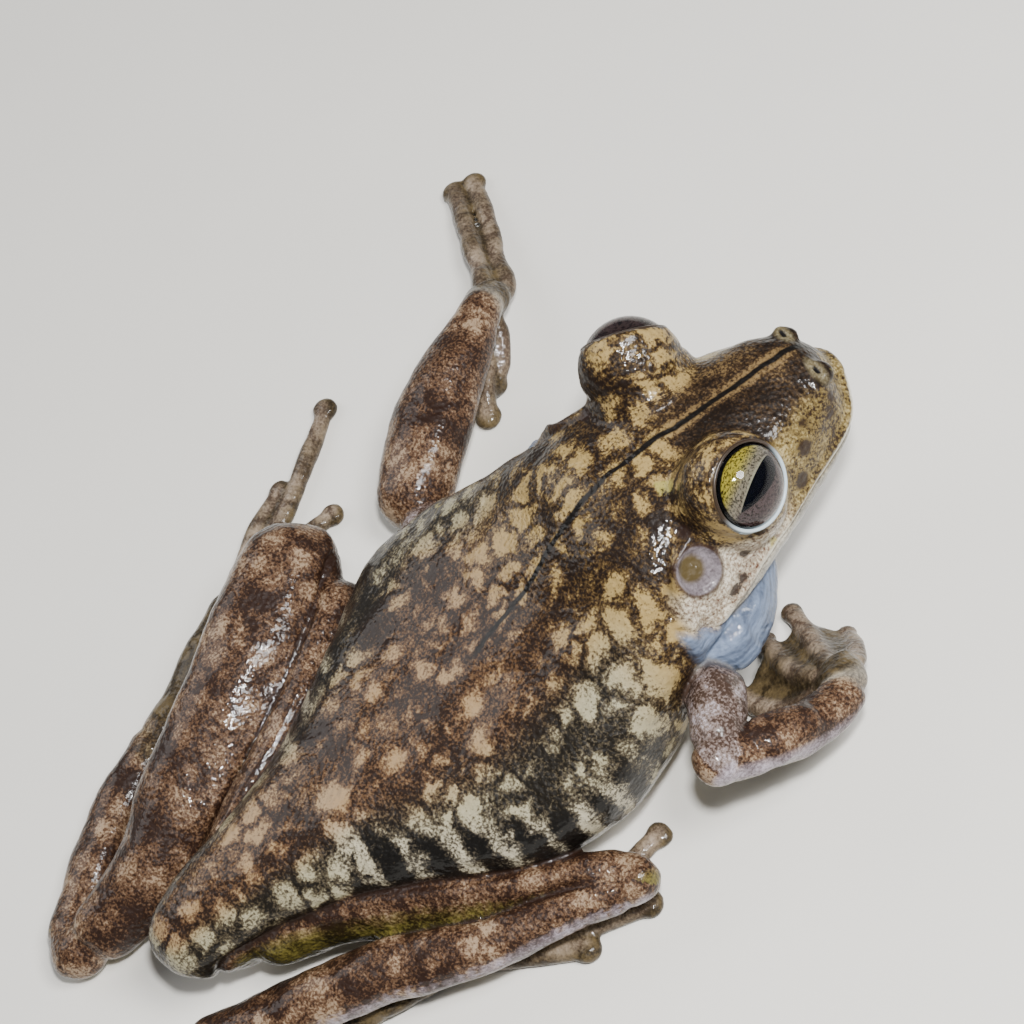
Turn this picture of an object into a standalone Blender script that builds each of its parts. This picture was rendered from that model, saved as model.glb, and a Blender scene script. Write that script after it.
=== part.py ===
"""Gladiator tree frog: an adult male at rest with its vocal sac half full, life size.

The frog faces -Y with its left side at +X, and its belly lies on the plane z = 0.
Sizes are written in millimetres and become metres where a mesh is made.
Every form is a surface worked out on a grid: rings of a body outline carried along the
spine, or ellipses carried along the smooth path of a limb. Where two parts meet, the
later one is cut by the earlier one grown by the joint gap.
"""
import bpy
import numpy as np

MM = 0.001
GAP = 0.3                     # clear space between parts that meet
FAR = 200.0                   # size of the blocks that cut a form in two

# Trunk and head, in stations along the spine from the snout to the vent
SPINE_Y = [-31.6, -30.4, -27.5, -24.0, -19.5, -14.0, -8.0, -3.0, 2.0, 8.0, 14.0, 20.0, 26.0, 32.0, 38.0, 43.0]
HALF_WIDTH = [2.4, 3.9, 5.7, 7.2, 9.1, 11.1, 12.5, 14.6, 16.6, 17.0, 14.6, 10.8, 7.8, 5.8, 4.4, 3.0]
TOP = [19.4, 20.7, 21.9, 22.5, 23.0, 23.4, 22.6, 19.8, 17.6, 15.8, 15.0, 14.6, 14.2, 13.6, 12.4, 10.8]
WIDEST = [16.2, 15.6, 15.2, 15.2, 15.4, 15.2, 13.8, 12.0, 10.6, 9.6, 9.0, 8.6, 8.4, 8.4, 8.6, 8.8]
BOTTOM = [13.2, 12.0, 11.0, 10.4, 9.8, 9.0, 5.4, 0.1, -0.7, -0.7, -0.7, -0.7, -0.6, 0.4, 3.0, 6.6]
SWAY = [0.0, 0.0, 0.0, 0.0, 0.0, 0.0, 0.0, 0.3, 0.8, 1.0, 0.5, 0.0, 0.0, 0.0, 0.0, 0.0]
END_ROUND = 2.4               # length over which the snout and the rump round off
FIRST_RING = 0.08             # place of a form's first ring, as an angle along a half circle
# Superellipse powers of the back, where 2 is an ellipse, and of the belly
BOXINESS_TOP = [2.5, 2.5, 2.5, 2.5, 2.3, 2.2, 2.2, 2.2, 2.2, 2.2, 2.2, 2.2, 2.2, 2.2, 2.2, 2.2]
BOXINESS_BELLY = 2.3

# Cuts through the one body form
NECK_Y = -6.4                 # plane behind the eardrums
NECK_LEAN = 0.12              # the plane's top leans forward by this slope
MOUTH_DROP = 0.5              # the mouth line lies this far under the widest level
JAW_CORNER_Y = -7.8

# Eyes
EYE_CENTRE = (7.7, -18.5, 23.2)
EYE_RADIUS = 3.75
EYE_UP = 26.0                 # degrees that the gaze is raised
EYE_FORWARD = 26.0            # degrees that the gaze is turned forward
LID_THICKNESS = 0.5
LID_OPENING = 60.0            # half angle of the opening between the lids, degrees
ORBIT_CENTRE = (6.2, -18.0, 20.2)
ORBIT_HALF = (4.8, 4.9, 5.0)  # the swelling that carries the lids

# Eardrums
DRUM_Y = -12.2
DRUM_ANGLE = 33.0             # place round the body's outline, degrees above level
DRUM_UP = 36.0                # degrees that the drum faces upwards
DRUM_RADIUS = 1.8
DRUM_RIM = 0.45
DRUM_DEPTH = 0.8
DRUM_BULGE = 0.35
# Fold of skin from the eye over the drum to the shoulder: places on the spine and round the body
FOLD_STATIONS = [(-15.0, 42.0), (-13.4, 46.5), (-11.4, 45.0), (-10.0, 34.0), (-9.4, 18.0), (-8.0, 3.0)]
FOLD_RADIUS = 0.7
FOLD_DEPTH = 0.2              # its middle lies this far under the skin

# Mouth, nostrils and calls
LIP_RADIUS = 0.5
LIP_ANGLE = 2.5               # place round the body's outline, degrees above level
LIP_STATIONS = (-8.4, -14.0, -20.0, -26.0, -29.6)
LIP_DEPTH = 0.1
LIP_FRONT_RISE = 0.6          # height of the lip over the widest level at the snout's tip
NOSTRIL_Y = -29.6
NOSTRIL_ANGLE = 71.0
NOSTRIL_RADIUS = 0.5
NOSTRIL_SHIFT = (0.5, -0.2, 0.1)
NOSTRIL_RIM_HALF = (1.1, 1.1, 0.8)
NOSTRIL_RIM_DEPTH = 0.35
SAC_CENTRE = (0.0, -10.8, 10.4)
SAC_HALF = (13.4, 8.6, 6.0)

# Limbs run from the joint nearest the body outwards. Half widths and half heights are
# read at equal steps along each path, and roll turns them about it.
LIMBS = {
    "upper_arm_left": ([(8.0, -9.0, 7.8), (14.6, -1.5, 5.2), (22.4, 5.4, 4.4)],
                       [3.8, 3.5, 3.0], [3.8, 3.3, 2.8], 0.0),
    "forearm_left": ([(22.8, 5.0, 4.4), (27.8, -0.7, 5.4), (31.7, -6.0, 6.0), (36.0, -12.8, 6.1)],
                     [3.1, 3.9, 3.5, 2.1], [2.9, 3.3, 2.8, 1.7], 0.0),
    "upper_arm_right": ([(-5.0, -10.0, 8.5), (-12.2, -7.6, 10.2), (-16.2, -6.5, 11.5), (-19.8, -4.4, 12.5)],
                        [3.2, 2.5, 2.3, 2.2], [3.2, 2.5, 2.3, 2.2], 0.0),
    "forearm_right": ([(-19.8, -3.7, 12.2), (-20.5, -8.2, 10.0), (-20.4, -12.4, 7.9), (-18.7, -16.9, 6.2)],
                      [2.2, 2.1, 2.1, 1.9], [2.2, 2.1, 2.0, 1.6], 0.0),
    "thigh_left": ([(2.8, 36.5, 6.6), (5.4, 31.0, 6.2), (9.6, 24.0, 6.0), (15.0, 17.4, 6.0), (21.2, 12.4, 6.4)],
                   [3.0, 3.5, 3.6, 3.5, 3.2], [3.4, 4.2, 4.4, 4.2, 3.4], 0.0),
    "thigh_right": ([(-2.8, 36.5, 6.6), (-4.0, 31.0, 6.2), (-9.2, 21.6, 5.8), (-14.3, 14.7, 5.4), (-19.5, 6.4, 5.3)],
                    [3.0, 3.4, 3.1, 2.4, 1.8], [3.4, 4.2, 4.0, 2.9, 2.0], 0.0),
    "shank_left": ([(26.6, 11.6, 8.4), (21.5, 18.2, 8.6), (16.2, 26.2, 8.0), (12.4, 34.0, 6.8), (9.6, 41.0, 5.2),
                    (9.2, 49.4, 3.0)],
                   [4.2, 5.2, 5.1, 4.6, 3.6, 2.7], [3.6, 3.8, 3.6, 3.2, 2.7, 2.3], 28.0),
    "shank_right": ([(-20.2, 7.4, 4.8), (-18.7, 12.0, 5.4), (-16.4, 20.0, 5.3), (-12.5, 28.3, 5.4), (-9.2, 38.0, 4.4),
                     (-5.8, 46.0, 3.2)],
                    [1.8, 2.0, 2.5, 2.8, 2.8, 2.4], [1.9, 2.1, 2.5, 2.7, 2.5, 2.2], -28.0),
    "tarsus_left": ([(10.0, 51.4, 2.3), (16.8, 45.0, 2.0), (21.2, 39.0, 1.8), (23.8, 34.0, 1.6)],
                    [2.3, 2.4, 2.3, 2.2], [2.1, 1.9, 1.8, 1.7], 0.0),
    "tarsus_right": ([(-6.0, 48.2, 2.1), (-9.0, 41.0, 1.5), (-11.0, 34.0, 1.2), (-12.2, 29.4, 1.1)],
                     [2.2, 2.2, 2.1, 2.0], [1.9, 1.4, 1.2, 1.2], 0.0),
}

# Hands and feet: the palm or sole, then the path of each digit out to its disc
PALMS = {
    "hand_left": ([(36.2, -13.0, 5.6), (38.0, -13.9, 4.4), (39.6, -14.6, 3.4)], [1.7, 2.3, 1.8], [1.5, 1.6, 1.2]),
    "hand_right": ([(-18.4, -16.8, 6.2), (-16.9, -15.9, 5.4), (-15.7, -15.3, 4.8)], [1.9, 2.8, 2.6], [1.5, 1.5, 1.2]),
    "foot_left": ([(22.5, 35.8, 1.6), (27.8, 26.8, 1.2), (31.2, 21.0, 1.0)], [2.0, 2.2, 2.5], [1.6, 1.4, 1.2]),
    "foot_right": ([(-12.0, 31.6, 1.6), (-12.9, 24.6, 1.2), (-14.0, 20.4, 1.0)], [1.9, 2.1, 2.2], [1.5, 1.4, 1.2]),
}
DIGITS = {
    "hand_left": [
        [(37.0, -12.6, 4.0), (34.0, -10.4, 2.4), (31.4, -8.2, 1.6), (30.0, -7.2, 0.6)],
        [(37.6, -13.2, 3.8), (35.0, -12.8, 2.8), (33.4, -11.6, 1.8), (32.4, -9.6, 0.6)],
        [(37.6, -14.2, 3.8), (38.4, -15.8, 3.2), (42.8, -17.0, 2.2), (48.1, -18.9, 1.4), (53.6, -20.2, 0.6)],
        [(38.7, -14.0, 4.4), (43.5, -15.4, 3.2), (48.5, -16.8, 2.2), (54.3, -18.3, 0.6)],
    ],
    "hand_right": [
        [(-17.2, -15.4, 5.3), (-15.6, -11.8, 3.2), (-12.2, -9.6, 1.4), (-9.9, -9.0, 0.6)],
        [(-16.2, -15.2, 5.0), (-13.0, -13.8, 3.2), (-9.6, -13.6, 1.4), (-7.4, -13.8, 0.6)],
        [(-16.4, -16.1, 5.2), (-13.4, -16.4, 3.6), (-9.4, -16.8, 1.6), (-6.8, -16.9, 0.6)],
        [(-17.0, -17.6, 5.4), (-15.4, -18.6, 3.6), (-13.2, -19.2, 1.6), (-11.8, -19.3, 0.6)],
    ],
    "foot_left": [
        [(29.2, 26.0, 1.2), (27.4, 21.6, 0.8), (25.4, 18.0, 0.6)],
        [(30.4, 23.0, 1.1), (29.6, 17.4, 0.7), (27.8, 12.8, 0.6)],
        [(31.2, 21.0, 1.0), (32.0, 14.6, 0.7), (32.3, 9.8, 0.6)],
        [(32.2, 20.4, 1.0), (35.4, 13.9, 0.8), (39.6, 8.2, 0.7), (42.8, 4.6, 0.6)],
        [(32.6, 21.0, 1.0), (36.0, 16.4, 0.8), (38.2, 12.6, 0.6)],
    ],
    "foot_right": [
        [(-13.2, 24.4, 1.2), (-11.4, 20.6, 0.8), (-10.6, 17.4, 0.6)],
        [(-14.2, 21.4, 1.1), (-12.8, 16.2, 0.7), (-11.2, 11.7, 0.6)],
        [(-14.6, 20.1, 1.0), (-16.5, 10.8, 0.7), (-15.7, 3.4, 0.6)],
        [(-15.0, 20.6, 1.0), (-17.9, 14.4, 0.8), (-20.2, 7.4, 0.6)],
        [(-14.8, 22.0, 1.0), (-17.2, 18.0, 0.8), (-19.8, 13.7, 0.6)],
    ],
}
DIGIT_RADIUS = 0.95
DISC_HALF = (1.3, 1.3, 0.8)
# Each web: the share of its digits that it follows, and how far its free edge is hollowed
WEBS = {
    "hand_left": [(0.85, 0.45), (0.85, 0.45), (0.85, 0.3)],
    "hand_right": [(0.97, 0.06), (0.97, 0.12), (0.97, 0.04)],
    "foot_left": [(0.8, 0.45)] * 4,
    "foot_right": [(0.8, 0.45)] * 4,
}
WEB_THICKNESS = 0.6
WEB_OVERLAP = 0.08            # share of its width by which a web enters its digits

# What each part is cut by, so that it meets its neighbours face to face
CUTS = {
    "vocal_sac": ["trunk", "lip"],
    "upper_arm_left": ["trunk", "vocal_sac"],
    "upper_arm_right": ["trunk", "lip", "vocal_sac", "fold_right"],
    "forearm_left": ["upper_arm_left", "trunk"],
    "forearm_right": ["upper_arm_right", "trunk"],
    "shank_left": ["trunk"],
    "shank_right": ["trunk"],
    "thigh_left": ["trunk", "shank_left"],
    "thigh_right": ["trunk", "shank_right"],
    "tarsus_left": ["shank_left"],
    "tarsus_right": ["shank_right"],
    "hand_left": ["forearm_left"],
    "hand_right": ["forearm_right", "vocal_sac"],
    "foot_left": ["tarsus_left", "shank_left", "thigh_left"],
    "foot_right": ["tarsus_right", "shank_right", "thigh_right", "trunk"],
}
TRUNK_RINGS = 36
TRUNK_SIDES = 28
LIMB_RINGS = 13
LIMB_SIDES = 12
DIGIT_RINGS = 6
DIGIT_SIDES = 6
ROUND_RINGS = 9               # eyeballs, lids and sockets
ROUND_SIDES = 16

# Colours as linear light, one to each part of the animal
BACK = (0.23, 0.15, 0.06)
LEG = (0.20, 0.11, 0.05)
JAW = (0.42, 0.36, 0.24)
SAC = (0.22, 0.27, 0.36)
DIGIT = (0.30, 0.23, 0.13)
DRUM = (0.24, 0.19, 0.16)
IRIS = (0.36, 0.30, 0.06)


def smooth(at, knots, values):
    """Cubic Hermite curve through the values, its slopes read from the neighbouring knots."""
    knots = np.asarray(knots, float)
    values = np.asarray(values, float)
    slopes = np.gradient(values, knots, axis=0)
    left = np.clip(np.searchsorted(knots, at, side="right") - 1, 0, len(knots) - 2)
    span = knots[left + 1] - knots[left]
    t = (np.asarray(at) - knots[left]) / span
    if values.ndim > 1:
        span = span[:, None]
        t = t[:, None]
    rise = values[left] * (2 * t**3 - 3 * t**2 + 1) + values[left + 1] * (3 * t**2 - 2 * t**3)
    return rise + span * (slopes[left] * (t**3 - 2 * t**2 + t) + slopes[left + 1] * (t**3 - t**2))


def unit(vectors):
    """Each vector divided by its length."""
    return vectors / np.linalg.norm(vectors, axis=-1, keepdims=True)


def add_mesh(name, points, faces):
    """New object from points in millimetres and faces as tuples of point numbers.

    The signed volume of the fans over the faces tells whether they point inwards, and
    then each is turned round.
    """
    points = np.asarray(points, float)
    fans = np.array([(face[0], face[k], face[k + 1]) for face in faces for k in range(1, len(face) - 1)])
    a, b, c = points[fans[:, 0]], points[fans[:, 1]], points[fans[:, 2]]
    if np.sum(a * np.cross(b, c)) < 0:
        faces = [face[::-1] for face in faces]
    mesh = bpy.data.meshes.new(name)
    mesh.from_pydata((points * MM).tolist(), [], faces)
    mesh.shade_smooth()
    body = bpy.data.objects.new(name, mesh)
    bpy.context.scene.collection.objects.link(body)
    return body


def closed_rings(name, rings, first_pole, last_pole):
    """Closed surface over rings of equal length, ended by a point at each end."""
    count, sides = rings.shape[:2]
    points = np.vstack([rings.reshape(-1, 3), first_pole, last_pole])
    first = count * sides
    last = first + 1
    faces = []
    for side in range(sides):
        after = (side + 1) % sides
        faces.append((first, side, after))
        faces.append((last, (count - 1) * sides + after, (count - 1) * sides + side))
        for row in range(count - 1):
            low = row * sides
            high = low + sides
            faces.append((low + side, high + side, high + after, low + after))
    return add_mesh(name, points, faces)


def outline(spot, angle, grow=0.0, taper=1.0):
    """Points of the body's surface: at each place on the spine, a superellipse.

    Its upper half spans from the widest level to the back, its lower half from there to
    the belly. An angle of 0 is the left side, 90 degrees the back.
    """
    wide = smooth(spot, SPINE_Y, HALF_WIDTH) + grow
    level = smooth(spot, SPINE_Y, WIDEST)
    up = smooth(spot, SPINE_Y, TOP) - level + grow
    down = level - smooth(spot, SPINE_Y, BOTTOM) + grow
    power = np.where(np.sin(angle) >= 0, 2 / smooth(spot, SPINE_Y, BOXINESS_TOP), 2 / BOXINESS_BELLY)
    across = np.sign(np.cos(angle)) * np.abs(np.cos(angle)) ** power
    height = np.sign(np.sin(angle)) * np.abs(np.sin(angle)) ** power
    x = smooth(spot, SPINE_Y, SWAY) + taper * wide * across
    z = level + taper * np.where(height >= 0, up, down) * height
    return x, z


def on_body(y, degrees, lift=0.0):
    """Point on the body's surface at a place on the spine, raised by lift."""
    x, z = outline(np.array([float(y)]), np.radians([float(degrees)]), lift)
    return np.array([x[0], y, z[0]])


def trunk(name, rings, sides, grow=0.0):
    """The head and trunk in one, from the snout to the vent, rounded off at both ends."""
    start = SPINE_Y[0] - grow
    end = SPINE_Y[-1] + grow
    along = start + (end - start) * (1 - np.cos(np.linspace(FIRST_RING, np.pi - FIRST_RING, rings))) / 2
    spot = np.clip(along, SPINE_Y[0], SPINE_Y[-1])
    closeness = np.minimum(along - start, end - along) / END_ROUND
    taper = np.sqrt(1 - np.clip(1 - closeness, 0, 1) ** 2)
    angle = np.linspace(0, 2 * np.pi, sides, endpoint=False)
    x, z = outline(np.repeat(spot, sides), np.tile(angle, rings), grow, np.repeat(taper, sides))
    points = np.stack([x, np.repeat(along, sides), z], -1).reshape(rings, sides, 3)
    middle = [(smooth(np.array([y]), SPINE_Y, SWAY)[0], edge, smooth(np.array([y]), SPINE_Y, WIDEST)[0])
              for y, edge in ((SPINE_Y[0], start), (SPINE_Y[-1], end))]
    return closed_rings(name, points, *middle)


def tube(name, path, half_width, half_height, roll=0.0, grow=0.0, rings=LIMB_RINGS, sides=LIMB_SIDES):
    """Ellipses carried along a smooth path, with a quarter round at both ends.

    Half width is measured level and half height across it, both turned by roll degrees
    about the path, and all are read from equally spaced values along it.
    """
    path = np.asarray(path, float)
    lengths = np.concatenate([[0.0], np.cumsum(np.linalg.norm(np.diff(path, axis=0), axis=1))])
    total = lengths[-1]
    places = np.linspace(0, total, len(half_width))
    reach = (half_width[0] + half_height[0]) / 2, (half_width[-1] + half_height[-1]) / 2
    start = -grow
    end = total + grow
    along = start + (end - start) * (1 - np.cos(np.linspace(FIRST_RING, np.pi - FIRST_RING, rings))) / 2
    spot = np.clip(along, 0, total)
    centre = smooth(spot, lengths, path)
    forward = unit(smooth(np.clip(spot + 0.05, 0, total), lengths, path)
                   - smooth(np.clip(spot - 0.05, 0, total), lengths, path))
    centre = centre + forward * (along - spot)[:, None]
    side = unit(np.cross(forward, [0.0, 0.0, 1.0]))
    over = np.cross(side, forward)
    turn = np.radians(roll)
    major = side * np.cos(turn) + over * np.sin(turn)
    minor = over * np.cos(turn) - side * np.sin(turn)
    taper = (np.sqrt(1 - np.clip(1 - (along - start) / (reach[0] + grow), 0, 1) ** 2)
             * np.sqrt(1 - np.clip(1 - (end - along) / (reach[1] + grow), 0, 1) ** 2))
    wide = (smooth(spot, places, half_width) + grow) * taper
    high = (smooth(spot, places, half_height) + grow) * taper
    angle = np.linspace(0, 2 * np.pi, sides, endpoint=False)
    ring = (centre[:, None, :] + major[:, None, :] * (wide[:, None] * np.cos(angle))[..., None]
            + minor[:, None, :] * (high[:, None] * np.sin(angle))[..., None])
    ends = smooth(np.array([0.0, total]), lengths, path) + forward[[0, -1]] * [[-grow], [grow]]
    return closed_rings(name, ring, ends[0], ends[1])


def ball(name, centre, half, grow=0.0, rings=12, sides=20):
    """Ellipsoid with its poles up and down."""
    half = np.asarray(half, float) + grow
    fall = np.linspace(0, np.pi, rings + 2)[1:-1, None]
    turn = np.linspace(0, 2 * np.pi, sides, endpoint=False)[None, :]
    ring = np.stack([half[0] * np.sin(fall) * np.cos(turn), half[1] * np.sin(fall) * np.sin(turn),
                     half[2] * np.cos(fall) + 0 * turn], -1) + centre
    centre = np.asarray(centre, float)
    return closed_rings(name, ring, centre + [0, 0, half[2]], centre - [0, 0, half[2]])


def turned(name, centre, axis, radii, heights, sides=14):
    """Profile of radii and heights turned about an axis, closed by a point at each end."""
    axis = unit(np.asarray(axis, float))
    side = unit(np.cross(axis, [0.0, 0.0, 1.0]))
    other = np.cross(axis, side)
    turn = np.linspace(0, 2 * np.pi, sides, endpoint=False)
    spoke = side * np.cos(turn)[:, None] + other * np.sin(turn)[:, None]
    radii = np.asarray(radii, float)[:, None, None]
    lift = np.asarray(heights, float)[:, None, None] * axis
    centre = np.asarray(centre, float)
    ring = centre + spoke[None] * radii + lift
    return closed_rings(name, ring, ring[0].mean(0), ring[-1].mean(0))


def block(name, centre, lean=0.0):
    """Large box whose face towards -Y or +Y is the cutting plane, leaning about X."""
    half = FAR / 2
    corner = np.array([(x, y, z) for x in (-half, half) for y in (-half, half) for z in (-half, half)])
    corner[:, 1] += lean * corner[:, 2]
    faces = [(0, 1, 3, 2), (4, 6, 7, 5), (0, 4, 5, 1), (2, 3, 7, 6), (0, 2, 6, 4), (1, 5, 7, 3)]
    return add_mesh(name, corner + centre, faces)


def drop(piece):
    """Remove an object and its mesh."""
    mesh = piece.data
    bpy.data.objects.remove(piece)
    bpy.data.meshes.remove(mesh)


def largest_surface(piece):
    """Keep only the largest closed surface of a mesh."""
    mesh = piece.data
    count = len(mesh.vertices)
    label = np.arange(count)
    ends = np.empty(len(mesh.edges) * 2, int)
    mesh.edges.foreach_get("vertices", ends)
    ends = ends.reshape(-1, 2)
    while True:
        low = np.minimum(label[ends[:, 0]], label[ends[:, 1]])
        before = label.copy()
        np.minimum.at(label, ends[:, 0], low)
        np.minimum.at(label, ends[:, 1], low)
        if np.array_equal(label, before):
            break
    names, sizes = np.unique(label, return_counts=True)
    if len(names) == 1:
        return
    keep = label == names[np.argmax(sizes)]
    fresh = np.cumsum(keep) - 1
    place = np.empty(count * 3)
    mesh.vertices.foreach_get("co", place)
    faces = [tuple(int(fresh[v]) for v in face.vertices) for face in mesh.polygons if keep[face.vertices[0]]]
    mesh.clear_geometry()
    mesh.from_pydata(place.reshape(-1, 3)[keep].tolist(), [], faces)
    mesh.shade_smooth()


def keep_result(piece):
    """Give a piece the mesh that its Boolean makes, and keep its largest closed surface."""
    bpy.context.view_layer.update()
    graph = bpy.context.evaluated_depsgraph_get()
    result = bpy.data.meshes.new_from_object(piece.evaluated_get(graph))
    piece.modifiers.clear()
    old = piece.data
    piece.data = result
    bpy.data.meshes.remove(old)
    largest_surface(piece)


def union(piece, others):
    """One surface around a piece and the others, by one Boolean on a collection of them.

    The manifold solver makes it, because the exact one drops digits of the hands.
    """
    group = bpy.data.collections.new("union")
    for other in others:
        group.objects.link(other)
    join = piece.modifiers.new("join", "BOOLEAN")
    join.operation = "UNION"
    join.operand_type = "COLLECTION"
    join.collection = group
    join.solver = "MANIFOLD"
    keep_result(piece)
    bpy.data.collections.remove(group)
    for other in others:
        drop(other)
    return piece


def combine(piece, other, operation, solver="EXACT"):
    """Boolean of a piece with another closed piece, which is then removed.

    On the head the exact solver leaves open edges, so its cuts take the manifold solver.
    """
    cut = piece.modifiers.new("cut", "BOOLEAN")
    cut.operation = operation
    cut.object = other
    cut.solver = solver
    keep_result(piece)
    drop(other)


def less(piece, others, solver="EXACT"):
    """A piece without the space of the others, cut by one after another."""
    for other in others:
        combine(piece, other, "DIFFERENCE", solver)
    return piece


def paint(piece, colour, roughness):
    """Give a piece its own material."""
    surface = bpy.data.materials.new(piece.name)
    surface.use_nodes = True
    shader = surface.node_tree.nodes["Principled BSDF"]
    shader.inputs["Base Color"].default_value = (*colour, 1.0)
    shader.inputs["Roughness"].default_value = roughness
    shader.inputs["Metallic"].default_value = 0.0
    piece.data.materials.clear()
    piece.data.materials.append(surface)


def gaze(side):
    """Direction of an eye: outwards, raised and turned forward."""
    up, forward = np.radians([EYE_UP, EYE_FORWARD])
    return np.array([side * np.cos(up) * np.cos(forward), -np.cos(up) * np.sin(forward), np.sin(up)])


def mirrored(point, side):
    """A point of the left side, or its twin on the right."""
    return np.asarray(point, float) * [side, 1, 1]


def path_at(path, share):
    """Points at shares of the length of a digit's path."""
    path = np.asarray(path, float)
    lengths = np.concatenate([[0.0], np.cumsum(np.linalg.norm(np.diff(path, axis=0), axis=1))])
    return smooth(share * lengths[-1], lengths, path)


def slab(name, middle, thickness):
    """Closed sheet of even thickness, measured upright, about a grid of points."""
    rows, columns = middle.shape[:2]
    lift = np.array([0.0, 0.0, thickness / 2])
    points = np.vstack([(middle + lift).reshape(-1, 3), (middle - lift).reshape(-1, 3)])
    under = rows * columns
    faces = []
    for row in range(rows - 1):
        for column in range(columns - 1):
            corner = row * columns + column
            quad = (corner, corner + 1, corner + columns + 1, corner + columns)
            faces.append(quad)
            faces.append(tuple(under + point for point in quad[::-1]))
    rim = ([column for column in range(columns - 1)]
           + [row * columns + columns - 1 for row in range(rows - 1)]
           + [under - 1 - column for column in range(columns - 1)]
           + [row * columns for row in range(rows - 1, 0, -1)])
    for here, there in zip(rim, rim[1:] + rim[:1]):
        faces.append((there, here, under + here, under + there))
    return add_mesh(name, points, faces)


def web(name, first, second, reach, dip, thickness):
    """Membrane between two digits: straight across from one path to the other.

    Its free edge is a parabola hollowed towards the palm by dip.
    """
    along = np.linspace(0.02, 1, 5)[:, None]
    across = np.linspace(-WEB_OVERLAP, 1 + WEB_OVERLAP, 4)[None, :]
    share = along * reach * (1 - dip * 4 * across * (1 - across))
    a = path_at(first, share.ravel()).reshape(*share.shape, 3)
    b = path_at(second, share.ravel()).reshape(*share.shape, 3)
    middle = a * (1 - across[..., None]) + b * across[..., None]
    return slab(name, middle, thickness)


def palm_and_digits(name, grow=0.0):
    """A hand or foot: the palm, the digits with their discs, and the webs between them."""
    path, half_width, half_height = PALMS[name]
    whole = tube(name, path, half_width, half_height, grow=grow, rings=6, sides=10)
    pieces = []
    for number, digit in enumerate(DIGITS[name]):
        label = f"{name}_digit_{number + 1}"
        pieces.append(tube(label, digit, [DIGIT_RADIUS] * 2, [DIGIT_RADIUS * 0.85] * 2, grow=grow,
                           rings=DIGIT_RINGS, sides=DIGIT_SIDES))
        pieces.append(ball(label + "_disc", digit[-1], DISC_HALF, grow, rings=3, sides=8))
    for first, second, (reach, dip) in zip(DIGITS[name], DIGITS[name][1:], WEBS[name]):
        pieces.append(web(name + "_web", first, second, reach, dip, WEB_THICKNESS + 2 * grow))
    return union(whole, pieces)


def mouth_block(name, inset):
    """Everything below the mouth line and in front of the corners of the jaw.

    The line follows the widest level of the head, and inset draws the block's top and
    back in.
    """
    back = JAW_CORNER_Y - inset
    along = np.linspace(SPINE_Y[0] - 5.0, back, 24)
    height = smooth(np.clip(along, SPINE_Y[0], SPINE_Y[-1]), SPINE_Y, WIDEST) - MOUTH_DROP - inset
    count = len(along)
    side = [np.stack([np.full(count, x), along, height], -1) for x in (-FAR / 2, FAR / 2)]
    base = [(x, y, -FAR / 2) for x in (-FAR / 2, FAR / 2) for y in (along[0], back)]
    points = np.vstack(side + [base])
    low = 2 * count
    faces = [(k, k + 1, count + k + 1, count + k) for k in range(count - 1)]
    faces.append((low, low + 1, *range(count - 1, -1, -1)))
    faces.append((low + 3, low + 2, *range(count, 2 * count)))
    faces.append((low + 2, low, 0, count))
    faces.append((low + 1, low + 3, 2 * count - 1, count - 1))
    faces.append((low, low + 2, low + 3, low + 1))
    return add_mesh(name, points, faces)


def drum_place(side):
    """Centre and outward direction of an eardrum."""
    up = np.radians(DRUM_UP)
    return mirrored(on_body(DRUM_Y, DRUM_ANGLE), side), np.array([side * np.cos(up), 0.1, np.sin(up)])


def fold(side, grow=0.0):
    """The fold of skin that runs from the eye over the eardrum to the shoulder."""
    path = [mirrored(on_body(y, angle, -FOLD_DEPTH), side) for y, angle in FOLD_STATIONS]
    return tube("fold", path, [FOLD_RADIUS] * 3, [FOLD_RADIUS] * 3, grow=grow, rings=10, sides=6)


def lip(grow=0.0):
    """The rounded edge of the upper lip, from one corner of the jaw round to the other."""
    left = [on_body(y, LIP_ANGLE, -LIP_DEPTH) for y in LIP_STATIONS]
    front = np.array([0.0, SPINE_Y[0] - LIP_DEPTH, WIDEST[0] + LIP_FRONT_RISE])
    path = left + [front] + [point * [-1, 1, 1] for point in left[::-1]]
    return tube("lip", path, [LIP_RADIUS] * 3, [LIP_RADIUS] * 3, grow=grow, rings=26, sides=6)


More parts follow.
